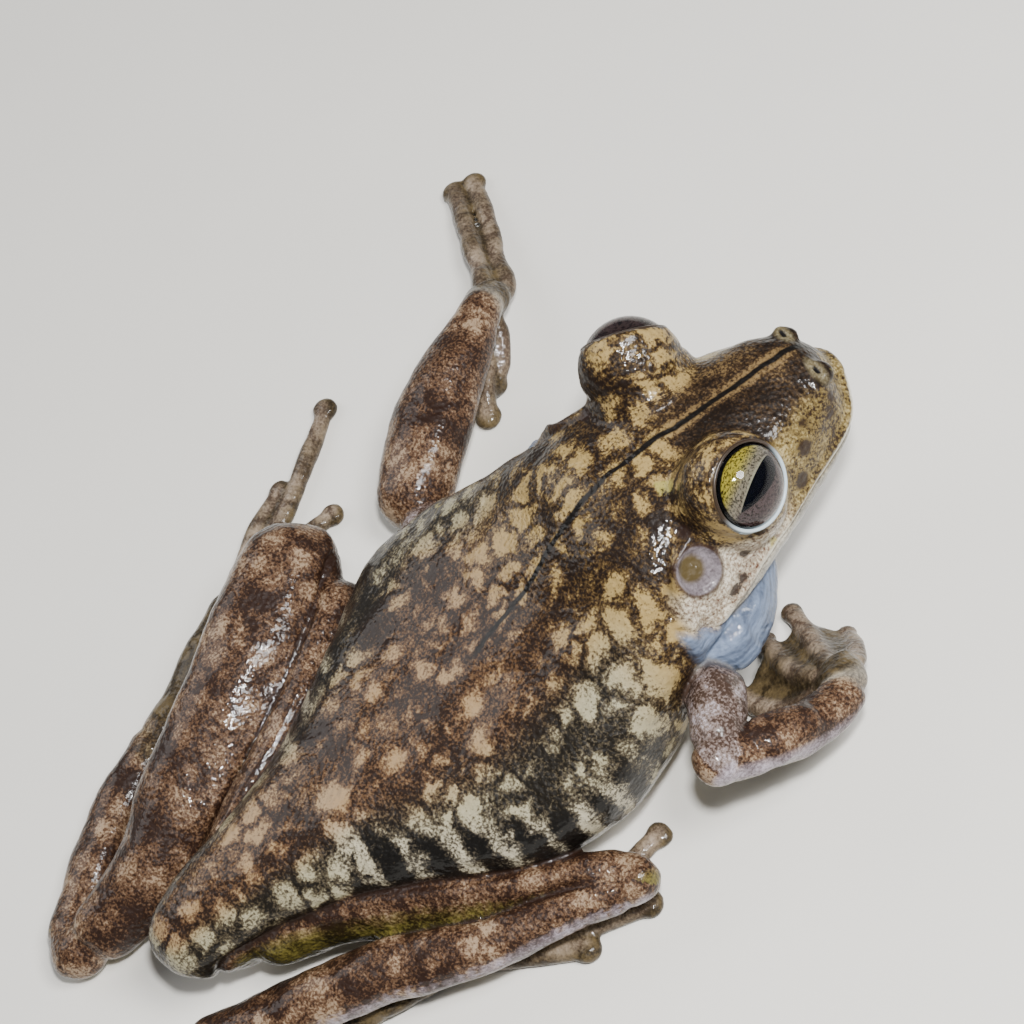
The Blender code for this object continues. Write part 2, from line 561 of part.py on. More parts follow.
def whole_body():
    """The head and trunk with lids, folds, drum rims, lips and nostrils, before any cut."""
    body = trunk("body", TRUNK_RINGS, TRUNK_SIDES)
    lid = EYE_RADIUS + LID_THICKNESS
    added = [lip()]
    removed = []
    for side in (1, -1):
        eye = mirrored(EYE_CENTRE, side)
        look = gaze(side)
        added.append(ball("lid", eye, (lid, lid, lid), rings=ROUND_RINGS, sides=ROUND_SIDES))
        added.append(ball("orbit", mirrored(ORBIT_CENTRE, side), ORBIT_HALF, rings=ROUND_RINGS, sides=ROUND_SIDES))
        added.append(fold(side))
        drum, outward = drum_place(side)
        rim = DRUM_RADIUS + GAP
        added.append(turned("drum_rim", drum, outward, [rim + DRUM_RIM * 1.6, rim + DRUM_RIM, rim * 0.9],
                            [-1.0, DRUM_RIM * 0.6, DRUM_RIM]))
        nostril = mirrored(on_body(NOSTRIL_Y, NOSTRIL_ANGLE), side)
        added.append(ball("nostril_rim", nostril - [0, 0, NOSTRIL_RIM_DEPTH], NOSTRIL_RIM_HALF, rings=4, sides=8))
        wide = np.tan(np.radians(LID_OPENING))
        removed.append(turned("opening", eye, look, [0.1, wide * 6.0], [0.05, 6.0], sides=ROUND_SIDES))
        removed.append(ball("socket", eye, (EYE_RADIUS,) * 3, GAP, ROUND_RINGS, ROUND_SIDES))
        removed.append(turned("drum_recess", drum, outward, [rim, rim], [-DRUM_DEPTH - GAP, 3.0]))
        pit = nostril + mirrored(NOSTRIL_SHIFT, side)
        removed.append(ball("nostril", pit, (NOSTRIL_RADIUS,) * 3, rings=4, sides=8))
    union(body, added)
    return less(body, removed, "MANIFOLD")


def build_head_and_torso():
    """Part the body into the head, the lower jaw and the torso, and fit eyes and drums."""
    body = whole_body()
    neck = np.array([0.0, NECK_Y, 20.0])
    head = copy_of(body, "head")
    behind = block("behind", neck + [0, (FAR - GAP) / 2, 0], -NECK_LEAN)
    less(head, [behind, mouth_block("below", -GAP / 2)], "MANIFOLD")
    jaw = copy_of(body, "lower_jaw")
    combine(jaw, mouth_block("below", GAP / 2), "INTERSECT")
    torso = copy_of(body, "torso")
    less(torso, [block("before", neck - [0, (FAR - GAP) / 2, 0], -NECK_LEAN), floor()])
    drop(body)
    paint(head, BACK, 0.4)
    paint(jaw, JAW, 0.4)
    paint(torso, BACK, 0.4)
    for side, word in ((1, "left"), (-1, "right")):
        eye = ball("eye_" + word, mirrored(EYE_CENTRE, side), (EYE_RADIUS,) * 3, rings=ROUND_RINGS, sides=ROUND_SIDES)
        paint(eye, IRIS, 0.1)
        centre, outward = drum_place(side)
        drum = turned("tympanum_" + word, centre, outward, [DRUM_RADIUS, DRUM_RADIUS, DRUM_RADIUS * 0.55],
                      [-DRUM_DEPTH, 0.0, DRUM_BULGE])
        paint(drum, DRUM, 0.4)


def copy_of(piece, name):
    """A second object with a mesh of its own."""
    twin = bpy.data.objects.new(name, piece.data.copy())
    twin.data.name = name
    bpy.context.scene.collection.objects.link(twin)
    return twin


def floor():
    """Block under the plane that the animal rests on."""
    return block("floor", (0.0, 0.0, -FAR / 2))


def form(name, grow=0.0):
    """The plain form of a part before any cut, grown all round."""
    if name == "trunk":
        return trunk("trunk", TRUNK_RINGS, TRUNK_SIDES, grow)
    if name == "vocal_sac":
        return ball(name, SAC_CENTRE, SAC_HALF, grow, rings=11, sides=20)
    if name == "lip":
        return lip(grow)
    if name == "fold_right":
        return fold(-1, grow)
    if name in PALMS:
        return palm_and_digits(name, grow)
    path, half_width, half_height, roll = LIMBS[name]
    return tube(name, path, half_width, half_height, roll, grow)


def build_limbs_and_sac():
    """The vocal sac, arms and legs, each cut by what it meets and by the floor."""
    for name, others in CUTS.items():
        piece = form(name)
        less(piece, [form(other, GAP) for other in others] + [floor()])
        if name == "vocal_sac":
            paint(piece, SAC, 0.35)
        else:
            paint(piece, DIGIT if name in PALMS else LEG, 0.4)


def main():
    """Clear the scene and build the animal."""
    for old in list(bpy.data.objects):
        bpy.data.objects.remove(old)
    build_head_and_torso()
    build_limbs_and_sac()


main()
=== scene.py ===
"""Looks of the gladiator tree frog: one moist patterned skin, two eyes, floor, light and camera.

Sizes are in millimetres and become metres where a mesh is made. The frog faces -Y, its left
side is at +X and it rests on the plane z = 0.
"""

import bpy
import mathutils
import numpy as np
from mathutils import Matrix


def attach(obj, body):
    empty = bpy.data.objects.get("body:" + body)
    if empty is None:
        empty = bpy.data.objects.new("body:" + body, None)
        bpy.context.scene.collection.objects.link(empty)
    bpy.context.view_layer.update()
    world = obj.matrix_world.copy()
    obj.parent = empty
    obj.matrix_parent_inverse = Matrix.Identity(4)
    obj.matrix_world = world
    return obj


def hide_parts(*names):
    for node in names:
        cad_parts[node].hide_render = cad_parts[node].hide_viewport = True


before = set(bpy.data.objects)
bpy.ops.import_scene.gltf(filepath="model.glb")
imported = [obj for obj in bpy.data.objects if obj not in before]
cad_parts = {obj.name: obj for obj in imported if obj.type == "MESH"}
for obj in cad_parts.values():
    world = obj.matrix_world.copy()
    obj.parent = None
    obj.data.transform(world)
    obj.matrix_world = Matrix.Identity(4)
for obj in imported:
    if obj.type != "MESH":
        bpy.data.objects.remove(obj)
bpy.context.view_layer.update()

MM = 0.001
FAR = 99.0                    # gap given to points that are too far away to measure

# Trunk and head, in stations along the spine from the snout to the vent
SPINE_Y = [-31.6, -30.4, -27.5, -24.0, -19.5, -14.0, -8.0, -3.0, 2.0, 8.0, 14.0, 20.0, 26.0, 32.0, 38.0,
           43.0]
HALF_WIDTH = [2.4, 3.9, 5.7, 7.2, 9.1, 11.1, 12.5, 14.6, 16.6, 17.0, 14.6, 10.8, 7.8, 5.8, 4.4, 3.0]
TOP = [19.4, 20.7, 21.9, 22.5, 23.0, 23.4, 22.6, 19.8, 17.6, 15.8, 15.0, 14.6, 14.2, 13.6, 12.4, 10.8]
WIDEST = [16.2, 15.6, 15.2, 15.2, 15.4, 15.2, 13.8, 12.0, 10.6, 9.6, 9.0, 8.6, 8.4, 8.4, 8.6, 8.8]
BOTTOM = [13.2, 12.0, 11.0, 10.4, 9.8, 9.0, 5.4, 0.1, -0.7, -0.7, -0.7, -0.7, -0.6, 0.4, 3.0, 6.6]
SWAY = [0.0, 0.0, 0.0, 0.0, 0.0, 0.0, 0.0, 0.3, 0.8, 1.0, 0.5, 0.0, 0.0, 0.0, 0.0, 0.0]
END_ROUND = 2.4               # length over which the snout and the rump round off
# Superellipse powers of the back, where 2 is an ellipse, and of the belly
BOXINESS_TOP = [2.5, 2.5, 2.5, 2.5, 2.3, 2.2, 2.2, 2.2, 2.2, 2.2, 2.2, 2.2, 2.2, 2.2, 2.2, 2.2]
BOXINESS_BELLY = 2.3
POLE_GAP = 0.04               # radians that the first ring lies from each pole

# Head
MOUTH_DROP = 0.5              # the mouth line lies this far under the widest level
MOUTH_END_Y = -11.4
# Lower border of the cheek behind the mouth: y and z, with the vocal sac's lobe under it
CHEEK_BORDER = [(-12.6, 13.4), (-11.6, 14.1), (-10.7, 15.0), (-9.5, 16.0), (-8.4, 17.0), (-7.6, 17.7)]
EYE_CENTRE = (7.7, -18.5, 23.2)
EYE_UP = 26.0                 # degrees that the gaze is raised
EYE_FORWARD = 26.0            # degrees that the gaze is turned forward
CORNEA_RADIUS = 4.0
BALL_RADIUS = 3.92            # the opaque ball within the cornea
IRIS_DEPTH = 2.15             # from the eye's middle to the plane of the iris
PUPIL_ROLL = 6.0              # degrees that the pupil's rear end is lowered
PUPIL_MIDDLE = (0.2, -0.2)    # towards the snout and up, from the iris's middle
PUPIL_HALF_LENGTH = 2.3
PUPIL_ABOVE = 0.3             # how far the pupil bulges above its long line, and below it
PUPIL_BELOW = 1.15
IRIS_MIDDLE = (0.1, -0.12)    # towards the snout and up, where the coloured iris is centred
IRIS_SHOWN = 2.98             # radius of its colour, with black beyond
IRIS_DISH = 0.3               # how far the iris's middle is sunk
PUPIL_PEAK = 1.09             # greatest value of sqrt(1 - s) (1 + s), which the pupil's depth follows
PUPIL_BEYOND = 0.3            # distance given to places past the pupil's ends
SOCKET_RADIUS = 1.3           # how deep the skin is drawn in behind the iris
LID_RADIUS = 4.25
LID_OPENING = 59.0            # half angle of the opening between the lids, degrees
LID_SNAP = 1.8                # skin within these degrees of the opening forms its rim
LID_REACH = 30.0              # skin within these degrees beyond the opening belongs to the lids
LID_THICK = 0.9               # skin within this height over the lids belongs to them
BROW = 0.2                    # height of the swelling over the upper lid
BROW_WIDE = 16.0              # degrees over which the swelling falls off
BROW_START = 5.0              # degrees from the opening to its crest
RIM_WIDE = 7.0                # degrees over which the lids bend in to their edge
RIM_PAINTED = 2.4             # degrees of the painted rim above, and how much more it is below
RIM_LOWER = 4.5
SOCKET_START = 0.3            # degrees within the opening where the socket's painted shade begins
LID_RIM = 4.12                # distance of the lids' edge from the eye's middle
LID_EDGE = 0.15               # half thickness of that moist edge
ORBIT_CENTRE = (6.2, -18.0, 20.2)
ORBIT_HALF = (4.8, 4.9, 5.0)  # the swelling that carries the lids
DRUM_Y = -12.2
DRUM_ANGLE = 33.0             # place round the body's outline, degrees above level
DRUM_RADIUS = 2.0
DRUM_OLIVE_SHIFT = (-0.45, 0.35, 0.2)
FOLD_STATIONS = [(-15.0, 42.0), (-13.4, 46.5), (-11.4, 45.0), (-10.0, 34.0), (-9.4, 18.0), (-8.0, 3.0)]
FOLD_RADIUS = 0.7
FOLD_SINK = 0.2               # how deep its middle line lies in the skin
LIP_RADIUS = 0.5
LIP_ANGLE = 2.5               # place round the body's outline, degrees above level
LIP_STATIONS = (-8.4, -14.0, -20.0, -26.0, -29.6)
LIP_SINK = 0.1                # how deep the lip's middle line lies in the skin
LIP_FRONT = 0.6               # height of that line over the widest level at the front
NOSTRIL = (2.45, -29.7, 20.75)
NOSTRIL_RIM_HALF = (1.3, 1.2, 0.7)
NOSTRIL_SINK = 0.35           # how far the rim's middle lies under the nostril
NOSTRIL_PIT = (0.5, 0.2, 0.5)
# Marks of the right side, mirrored to the left: place and radius
DARK_SPOTS = [((-5.2, -26.2, 20.0), 0.5), ((-6.25, -25.0, 18.9), 0.7), ((-7.4, -23.4, 17.1), 0.7),
              ((-4.1, -29.4, 19.1), 0.45), ((-4.8, -28.5, 18.4), 0.45), ((-10.0, -16.1, 18.1), 0.5),
              ((-10.8, -14.7, 16.5), 0.45), ((-11.1, -13.6, 16.4), 0.5), ((-7.4, -13.2, 21.7), 0.6)]
# Dark crease along the fold behind the eye, on the right side
CREASE = [(-9.2, -15.0, 20.0), (-8.6, -13.6, 20.8), (-8.4, -12.9, 21.1), (-8.3, -11.3, 21.2),
          (-9.5, -9.7, 20.2), (-10.9, -8.2, 18.5)]
# Black line down the back: its place to the left of the middle at stations along the spine
LINE_Y = [-31.0, -25.6, -20.6, -15.3, -8.6, -4.1, -0.4, 7.2]
LINE_X = [0.33, 0.3, 0.0, 0.35, 0.27, 0.0, -0.26, -0.65]
SAC_CENTRE = (0.0, -10.8, 10.4)
SAC_HALF = (13.4, 8.6, 6.0)
# Where the sac's lobe is none and full: at its rear and its front end, outwards and up
LOBE_REAR = (-7.4, -8.2)
LOBE_FRONT = (-13.0, -12.2)
LOBE_OUT = (8.0, 9.5)
LOBE_UP = (9.0, 10.5)

# Limbs, from the joint nearest the body outwards: path, half widths, half heights, roll
LIMBS = {
    "upper_arm_left": ([(8.0, -9.0, 7.8), (14.6, -1.5, 5.2), (22.4, 5.4, 4.4)],
                       [3.8, 3.5, 3.0], [3.8, 3.3, 2.8], 0.0),
    "forearm_left": ([(22.8, 5.0, 4.4), (27.8, -0.7, 5.4), (31.7, -6.0, 6.0), (36.0, -12.8, 6.1)],
                     [3.1, 3.9, 3.5, 2.1], [2.9, 3.3, 2.8, 1.7], 0.0),
    "upper_arm_right": ([(-5.0, -10.0, 8.5), (-12.2, -7.6, 10.2), (-16.2, -6.5, 11.5),
                         (-19.8, -4.4, 12.5)],
                        [3.2, 2.5, 2.3, 2.2], [3.2, 2.5, 2.3, 2.2], 0.0),
    "forearm_right": ([(-19.8, -3.7, 12.2), (-20.5, -8.2, 10.0), (-20.4, -12.4, 7.9), (-18.7, -16.9, 6.2)],
                      [2.2, 2.1, 2.1, 1.9], [2.2, 2.1, 2.0, 1.6], 0.0),
    "thigh_left": ([(2.8, 36.5, 6.6), (5.4, 31.0, 6.2), (9.6, 24.0, 6.0), (15.0, 17.4, 6.0),
                    (21.2, 12.4, 6.4)],
                   [3.0, 3.5, 3.6, 3.5, 3.2], [3.4, 4.2, 4.4, 4.2, 3.4], 0.0),
    "thigh_right": ([(-2.8, 36.5, 6.6), (-4.0, 31.0, 6.2), (-9.2, 21.6, 5.8), (-14.3, 14.7, 5.4),
                     (-19.5, 6.4, 5.3)],
                    [3.0, 3.4, 3.1, 2.4, 1.8], [3.4, 4.2, 4.0, 2.9, 2.0], 0.0),
    "shank_left": ([(26.6, 11.6, 8.4), (21.5, 18.2, 8.6), (16.2, 26.2, 8.0), (12.4, 34.0, 6.8),
                    (9.6, 41.0, 5.2), (9.2, 49.4, 3.0)],
                   [4.2, 5.2, 5.1, 4.6, 3.6, 2.7], [3.6, 3.8, 3.6, 3.2, 2.7, 2.3], 28.0),
    "shank_right": ([(-20.2, 7.4, 4.8), (-18.7, 12.0, 5.4), (-16.4, 20.0, 5.3), (-12.5, 28.3, 5.4),
                     (-9.2, 38.0, 4.4), (-5.8, 46.0, 3.2)],
                    [1.8, 2.0, 2.5, 2.8, 2.8, 2.4], [1.9, 2.1, 2.5, 2.7, 2.5, 2.2], -28.0),
    "tarsus_left": ([(10.0, 51.4, 2.3), (16.8, 45.0, 2.0), (21.2, 39.0, 1.8), (23.8, 34.0, 1.6)],
                    [2.3, 2.4, 2.3, 2.2], [2.1, 1.9, 1.8, 1.7], 0.0),
    "tarsus_right": ([(-6.0, 48.2, 2.1), (-9.0, 41.0, 1.5), (-11.0, 34.0, 1.2), (-12.2, 29.4, 1.1)],
                     [2.2, 2.2, 2.1, 2.0], [1.9, 1.4, 1.2, 1.2], 0.0),
}

# Hands and feet: the palm or sole, then the path of each digit out to its disc
PALMS = {
    "hand_left": ([(36.2, -13.0, 5.6), (38.0, -13.9, 4.4), (39.6, -14.6, 3.4)],
                  [1.7, 2.3, 1.8], [1.5, 1.6, 1.2]),
    "hand_right": ([(-18.4, -16.8, 6.2), (-16.9, -15.9, 5.4), (-15.7, -15.3, 4.8)],
                   [1.9, 2.8, 2.6], [1.5, 1.5, 1.2]),
    "foot_left": ([(22.5, 35.8, 1.6), (27.8, 26.8, 1.2), (31.2, 21.0, 1.0)],
                  [2.0, 2.2, 2.5], [1.6, 1.4, 1.2]),
    "foot_right": ([(-12.0, 31.6, 1.6), (-12.9, 24.6, 1.2), (-14.0, 20.4, 1.0)],
                   [1.9, 2.1, 2.2], [1.5, 1.4, 1.2]),
}
DIGITS = {
    "hand_left": [
        [(37.0, -12.6, 4.0), (34.0, -10.4, 2.4), (31.4, -8.2, 1.6), (30.0, -7.2, 0.6)],
        [(37.6, -13.2, 3.8), (35.0, -12.8, 2.8), (33.4, -11.6, 1.8), (32.4, -9.6, 0.6)],
        [(37.6, -14.2, 3.8), (38.4, -15.8, 3.2), (42.8, -17.0, 2.2), (48.1, -18.9, 1.4),
         (53.6, -20.2, 0.6)],
        [(38.7, -14.0, 4.4), (43.5, -15.4, 3.2), (48.5, -16.8, 2.2), (54.3, -18.3, 0.6)],
    ],
    "hand_right": [
        [(-17.2, -15.4, 5.3), (-15.6, -11.8, 3.2), (-12.2, -9.6, 1.4), (-9.9, -9.0, 0.6)],
        [(-16.2, -15.2, 5.0), (-13.0, -13.8, 3.2), (-9.6, -13.6, 1.4), (-7.4, -13.8, 0.6)],
        [(-16.4, -16.1, 5.2), (-13.4, -16.4, 3.6), (-9.4, -16.8, 1.6), (-6.8, -16.9, 0.6)],
        [(-17.0, -17.6, 5.4), (-15.4, -18.6, 3.6), (-13.2, -19.2, 1.6), (-11.8, -19.3, 0.6)],
    ],
    "foot_left": [
        [(29.2, 26.0, 1.2), (27.4, 21.6, 0.8), (25.4, 18.0, 0.6)],
        [(30.4, 23.0, 1.1), (29.6, 17.4, 0.7), (27.8, 12.8, 0.6)],
        [(31.2, 21.0, 1.0), (32.0, 14.6, 0.7), (32.3, 9.8, 0.6)],
        [(32.2, 20.4, 1.0), (35.4, 13.9, 0.8), (39.6, 8.2, 0.7), (42.8, 4.6, 0.6)],
        [(32.6, 21.0, 1.0), (36.0, 16.4, 0.8), (38.2, 12.6, 0.6)],
    ],
    "foot_right": [
        [(-13.2, 24.4, 1.2), (-11.4, 20.6, 0.8), (-10.6, 17.4, 0.6)],
        [(-14.2, 21.4, 1.1), (-12.8, 16.2, 0.7), (-11.2, 11.7, 0.6)],
        [(-14.6, 20.1, 1.0), (-16.5, 10.8, 0.7), (-15.7, 3.4, 0.6)],
        [(-15.0, 20.6, 1.0), (-17.9, 14.4, 0.8), (-20.2, 7.4, 0.6)],
        [(-14.8, 22.0, 1.0), (-17.2, 18.0, 0.8), (-19.8, 13.7, 0.6)],
    ],
}
DIGIT_RADIUS = 0.95
DIGIT_FLAT = 0.85             # a digit's height as a share of its width
DISC_HALF = (1.3, 1.3, 0.8)
DISC_SIZE = {"hand_left": 1.0, "hand_right": 0.78, "foot_left": 1.0, "foot_right": 1.0}
# Flesh that rounds off wrists, elbow, knees and heel: path, half widths and half heights
JOINTS = [
    ([(34.2, -10.0, 6.1), (36.6, -13.0, 5.8), (38.8, -14.2, 4.4)], [2.7, 2.1, 1.9], [2.2, 1.7, 1.5]),
    ([(-19.2, -14.8, 7.0), (-17.7, -16.2, 6.0), (-16.2, -15.8, 5.1)], [2.0, 2.2, 2.4], [1.8, 1.6, 1.3]),
    ([(-18.6, -5.2, 12.4), (-19.9, -4.2, 12.2), (-20.3, -6.4, 11.2)], [2.2, 2.1, 2.1], [2.2, 2.1, 2.1]),
    ([(22.0, 13.6, 6.6), (25.4, 13.6, 8.0)], [2.9, 3.6], [3.1, 3.2]),
    ([(-18.0, 8.6, 5.4), (-20.0, 6.6, 5.1), (-19.4, 9.6, 5.0)], [1.8, 1.9, 1.9], [2.0, 2.0, 2.0]),
    ([(9.1, 47.6, 3.4), (9.8, 50.2, 2.5), (12.8, 48.6, 2.3)], [2.8, 2.6, 2.4], [2.4, 2.2, 2.0]),
]
# Share of the digits' length that each web covers at them, and how far its edge is hollowed
WEBS = {
    "hand_left": [(0.85, 0.45), (0.85, 0.45), (0.85, 0.3)],
    "hand_right": [(0.97, 0.06), (0.97, 0.12), (0.97, 0.04)],
    "foot_left": [(0.8, 0.45)] * 4,
    "foot_right": [(0.8, 0.45)] * 4,
}
WEB_THICKNESS = 0.6
WEB_START = 0.02              # share of a digit's length where its web begins
WEB_OVERLAP = 0.08            # share of a web's width that it runs on into each digit

# Relief of the skin: heights and depths, and the half widths over which they fall off
LUMPS = [(0.2, 5.0, 3), (0.05, 1.8, 4)]     # rolling unevenness: height, size and seed
FOLD_DEPTH = 0.45             # where parts press together
FOLD_HALF = 0.35
FOLD_BEND = (3.0, 5.5)        # elbows, knees and heels are smooth within the first distance
DRUM_RIM = 0.2
DRUM_RIM_HALF = 0.35
DRUM_SUNK = 0.22
NOSTRIL_LIP = 0.08
NOSTRIL_DEPTH = 0.6
CREASE_DEPTH = 0.25
CREASE_HALF = 0.35
CREASE_DARK_HALF = 0.28
MOUTH_DEPTH = 0.3
MOUTH_HALF = 0.28
LOBE_HEIGHT = 0.35            # the vocal sac's lobe under the cheek, and the groove over it
LOBE_GROOVE = 0.25
LOBE_GROOVE_HALF = 0.35

# Colours of the net between the cells, of its edge and of the cells: first on the neck, then
# wherever the named share is full
NECK_COLOURS = ("#140a04", "#3d2d17", "#8b7548")
REGION_COLOURS = (
    ("warm", "#1c1009", "#4c3623", "#876f50"),
    ("side", "#120e08", "#40382a", "#8d866c"),
    ("flank", "#090705", "#3a342a", "#9c947e"),
    ("snout", "#110904", "#2b1e11", "#665234"),
    ("face", "#24170c", "#64542f", "#9a8a60"),
    ("cheek", "#4c3024", "#877a68", "#c3baa8"),
    ("limb", "#20120b", "#4d3726", "#89745d"),
    ("arm", "#35271f", "#6b5d57", "#a0969a"),
    ("belly", "#8b8371", "#a89f8b", "#bdb5a3"),
)
# How much lighter each region is, as a share of the way from net to cell; the fold's darkening is painted
# shade along the folds where parts of the body press together
REGION_LIGHT = {"snout": 0.06, "face": 0.24, "cheek": 0.3, "arm": 0.1, "limb": 0.04, "flank": -0.05,
                "belly": 0.6, "fold": -0.6}
# How much of the cells each region loses
REGION_PLAIN = {"snout": 0.85, "face": 0.7, "cheek": 0.9, "flank": 0.75, "limb": 0.5, "belly": 1.0}
# Where each region of the trunk and head lies: for each measure, the values where the region is
# none and full. The height is 0 at the widest level and 1 on the back, the rise is 0 on the belly
# and 1 on the back, and the mouth is the height in mm over the line of the mouth.
REGIONS = {
    "flank": (("rise", 0.76, 0.62), ("y", -3.0, 4.0), ("y", 28.0, 22.0)),
    "face": (("y", -18.5, -21.5), ("height", 0.88, 0.72)),
    "cheek": (("y", -8.2, -9.8), ("y", -22.5, -19.0), ("height", 0.66, 0.48)),
    "jaw": (("mouth", 0.0, -0.5), ("y", -5.0, -8.0)),
    "side": (("y", -7.0, 0.0), ("height", 0.95, 0.72)),
    "snout": (("y", -15.5, -18.5), ("height", 0.76, 0.9)),
    "stripe": (("y", -14.5, -17.0), ("y", -30.0, -28.0), ("height", 0.8, 0.9)),
    "midline": (("height", 0.3, 0.7), ("y", 7.5, 5.5)),
}
FLANK_SLOPE = 0.011           # how much the flank's upper border rises with each mm towards the vent

# Pattern of the skin. Scales are in repeats per millimetre: dots of 0.25 mm, clusters of 1.2 mm and
# patches of 7 mm, which give the mottled look, in layers of uneven lightness
NOISES = {
    "patches": {"Scale": 0.14, "Detail": 1.0},
    "clusters": {"Scale": 0.8, "Detail": 2.0},
    "dots": {"Scale": 4.0, "Detail": 1.5, "Roughness": 0.7},
}
LAYER_LIGHT = {"tone": 0.16, "patches": 1.1, "clusters": 0.6, "dots": 1.9}
BASE_LIGHT = 0.16
WANDER = 2.6                  # mm by which the noise under it moves the cells and bars
CELLS = 0.37                  # cells 2.7 mm apart
CELL_DRAWN = (1.0, 1.0, 0.5)  # drawn out down the sides
CELL_LIGHT = 0.75
NET_EDGE = 0.26               # half width of the net, in cells
BARS = 0.095                  # a wave texture has 20 / 2 pi bars in a unit, so these are 3.3 mm apart
BAR_LIGHT = 1.1               # how much lighter a bar is than the dark between
BAR_DARK = -0.42
FLECKS = 0.11                 # yellow green flecks 9 mm apart
GRAINS = 2.3                  # granules 0.43 mm apart
SAC_WRINKLES = (0.35, 0.35, 2.2)              # level wrinkles 0.45 mm apart
# Waves of lightness: the measure that they follow, their spacing in it, how far they wander, their
# region and their strength. These are dark bands along the limbs, and rings of painted shade and light that
# stand for wrinkles round the eyes.
# region and their strength. These are dark bands along the limbs and wrinkles round the eyes.
RIPPLES = (("band_mm", 7.0, 5.0, "limb", 0.14), ("lid_deg", 11.0, 22.0, "orbit", 0.16))
LINE_WANDER = {"patches": 1.0, "clusters": 0.4}
STRIPE_LIGHT = 0.5            # tan stripes beside the snout's middle line
# Edges of the marks: the measure, its values where the mark is none and full, and its greatest share
EDGES = {
    "stripe": ("aside", 1.0, 0.55, 1.0),
    "fleck": ("fleck", 0.1, 0.06, 0.75),
    "line": ("aside", 0.34, 0.18, 1.0),
    "spots": ("dotted", 1.05, 1.4, 0.92),
    "nostril_rim": ("pit", 0.15, 0.7, 1.0),
    # the nostril's opening, painted near black as shade
    "nostril_pit_shade": ("pit", 0.88, 0.97, 1.0),
    "outer_edge": ("edge", 0.84, 0.98, 1.0),
    "under_edge": ("edge", -0.6, -0.85, 1.0),
    "sac_fold": ("wrinkles", 0.35, 0.65, 1.0),
    "ear_olive": ("olive_mm", 1.35, 0.9, 1.0),
    "ear_outline": ("drum_mm", 2.35, 2.1, 0.85),
    "ear": ("drum_mm", 2.02, 1.86, 1.0),
}
# Paints that go from one colour to the other with a measure, mostly with the skin's lightness
PAINTS = {
    "nostril_rim": ("light", "#514731", "#8e866c"),
    "lavender": ("light", "#564b4e", "#9d939b"),
    "olive": ("light", "#231d0c", "#6a602c"),
    "web": ("light", "#261e12", "#52452e"),
    "digit": ("light", "#483a2f", "#8c7c6b"),
    "jaw": ("light", "#6d6a62", "#a19d91"),
    "ear_ring": ("light", "#453d3f", "#6e666a"),
    # the sac's blue is darker in the wrinkles' hollows and paler on their crests: painted shade and light of
    # the wrinkles
    "sac": ("sac_fold", "#434c5d", "#69768c"),
    "lid_rim": ("lower_lid", "#3f3021", "#a3b0b6"),
}

# Mesh of the skin
VOXEL = 0.23                  # edge of the remesh's cells
SKIN_TRIANGLES = 192000       # what the finished skin keeps

# Camera: the photograph's view from above the frog's right side
CAMERA_TARGET = (14.4, -3.5, 8.0)
CAMERA_DISTANCE = 248.0
CAMERA_TILT = 36.0            # degrees from straight down towards the frog's right
CAMERA_TURN = 38.0            # degrees that the picture is turned
LENS = 100.0
SENSOR = 36.0

# Light: a soft key lamp, a fill lamp and a small lamp by the camera for wet glints, each with its
# place, its diameter in mm and its power in watts
LAMPS = {
    "key_lamp": ((-160.0, -150.0, 330.0), 120.0, 1.7),
    "fill_lamp": ((260.0, 160.0, 260.0), 300.0, 0.7),
    "glint_lamp": ((-110.0, -30.0, 230.0), 20.0, 1.0),
}
LAMP_AIM = (0.0, 0.0, 8.0)
SURROUND_STRENGTH = 0.25
FLOOR_REACH = 1500.0


def smooth(at, knots, values):
    """Cubic Hermite curve through the values, its slopes read from the neighbouring knots."""
    knots = np.asarray(knots, float)
    values = np.asarray(values, float)
    slopes = np.gradient(values, knots, axis=0)
    left = np.clip(np.searchsorted(knots, at, side="right") - 1, 0, len(knots) - 2)
    span = knots[left + 1] - knots[left]
    t = (np.asarray(at) - knots[left]) / span
    if values.ndim > 1:
        span = span[..., None]
        t = t[..., None]
    rise = values[left] * (2 * t**3 - 3 * t**2 + 1) + values[left + 1] * (3 * t**2 - 2 * t**3)
    return rise + span * (slopes[left] * (t**3 - 2 * t**2 + t) + slopes[left + 1] * (t**3 - t**2))


def unit(vectors):
    """Each vector divided by its length."""
    return vectors / np.maximum(np.linalg.norm(vectors, axis=-1, keepdims=True), 1e-9)


def ease(value, low, high):
    """Smooth step: 0 at low, 1 at high, an S between. Low may be the greater of the two."""
    t = np.clip((value - low) / (high - low), 0, 1)
    return t * t * (3 - 2 * t)


def bell(distance, width):
    """Bell curve: 1 at no distance, 1/e at the width."""
    return np.exp(-(distance / width) ** 2)


def ring_faces(count, sides):
    """Faces of a closed surface over rings, ended by a point at each end."""
    side = np.arange(sides)
    after = (side + 1) % sides
    low = (np.arange(count - 1) * sides)[:, None]
    quads = np.stack([low + side, low + sides + side, low + sides + after, low + after], -1).reshape(-1, 4)
    last_row = (count - 1) * sides
    first = np.full(sides, count * sides)
    caps = np.concatenate([np.stack([first, side, after], -1),
                           np.stack([first + 1, last_row + after, last_row + side], -1)])
    return quads.tolist() + caps.tolist()


def closed_rings(rings, first_pole, last_pole):
    """Points and faces of a closed surface over rings of equal length."""
    count, sides = rings.shape[:2]
    return np.vstack([rings.reshape(-1, 3), first_pole, last_pole]), ring_faces(count, sides)


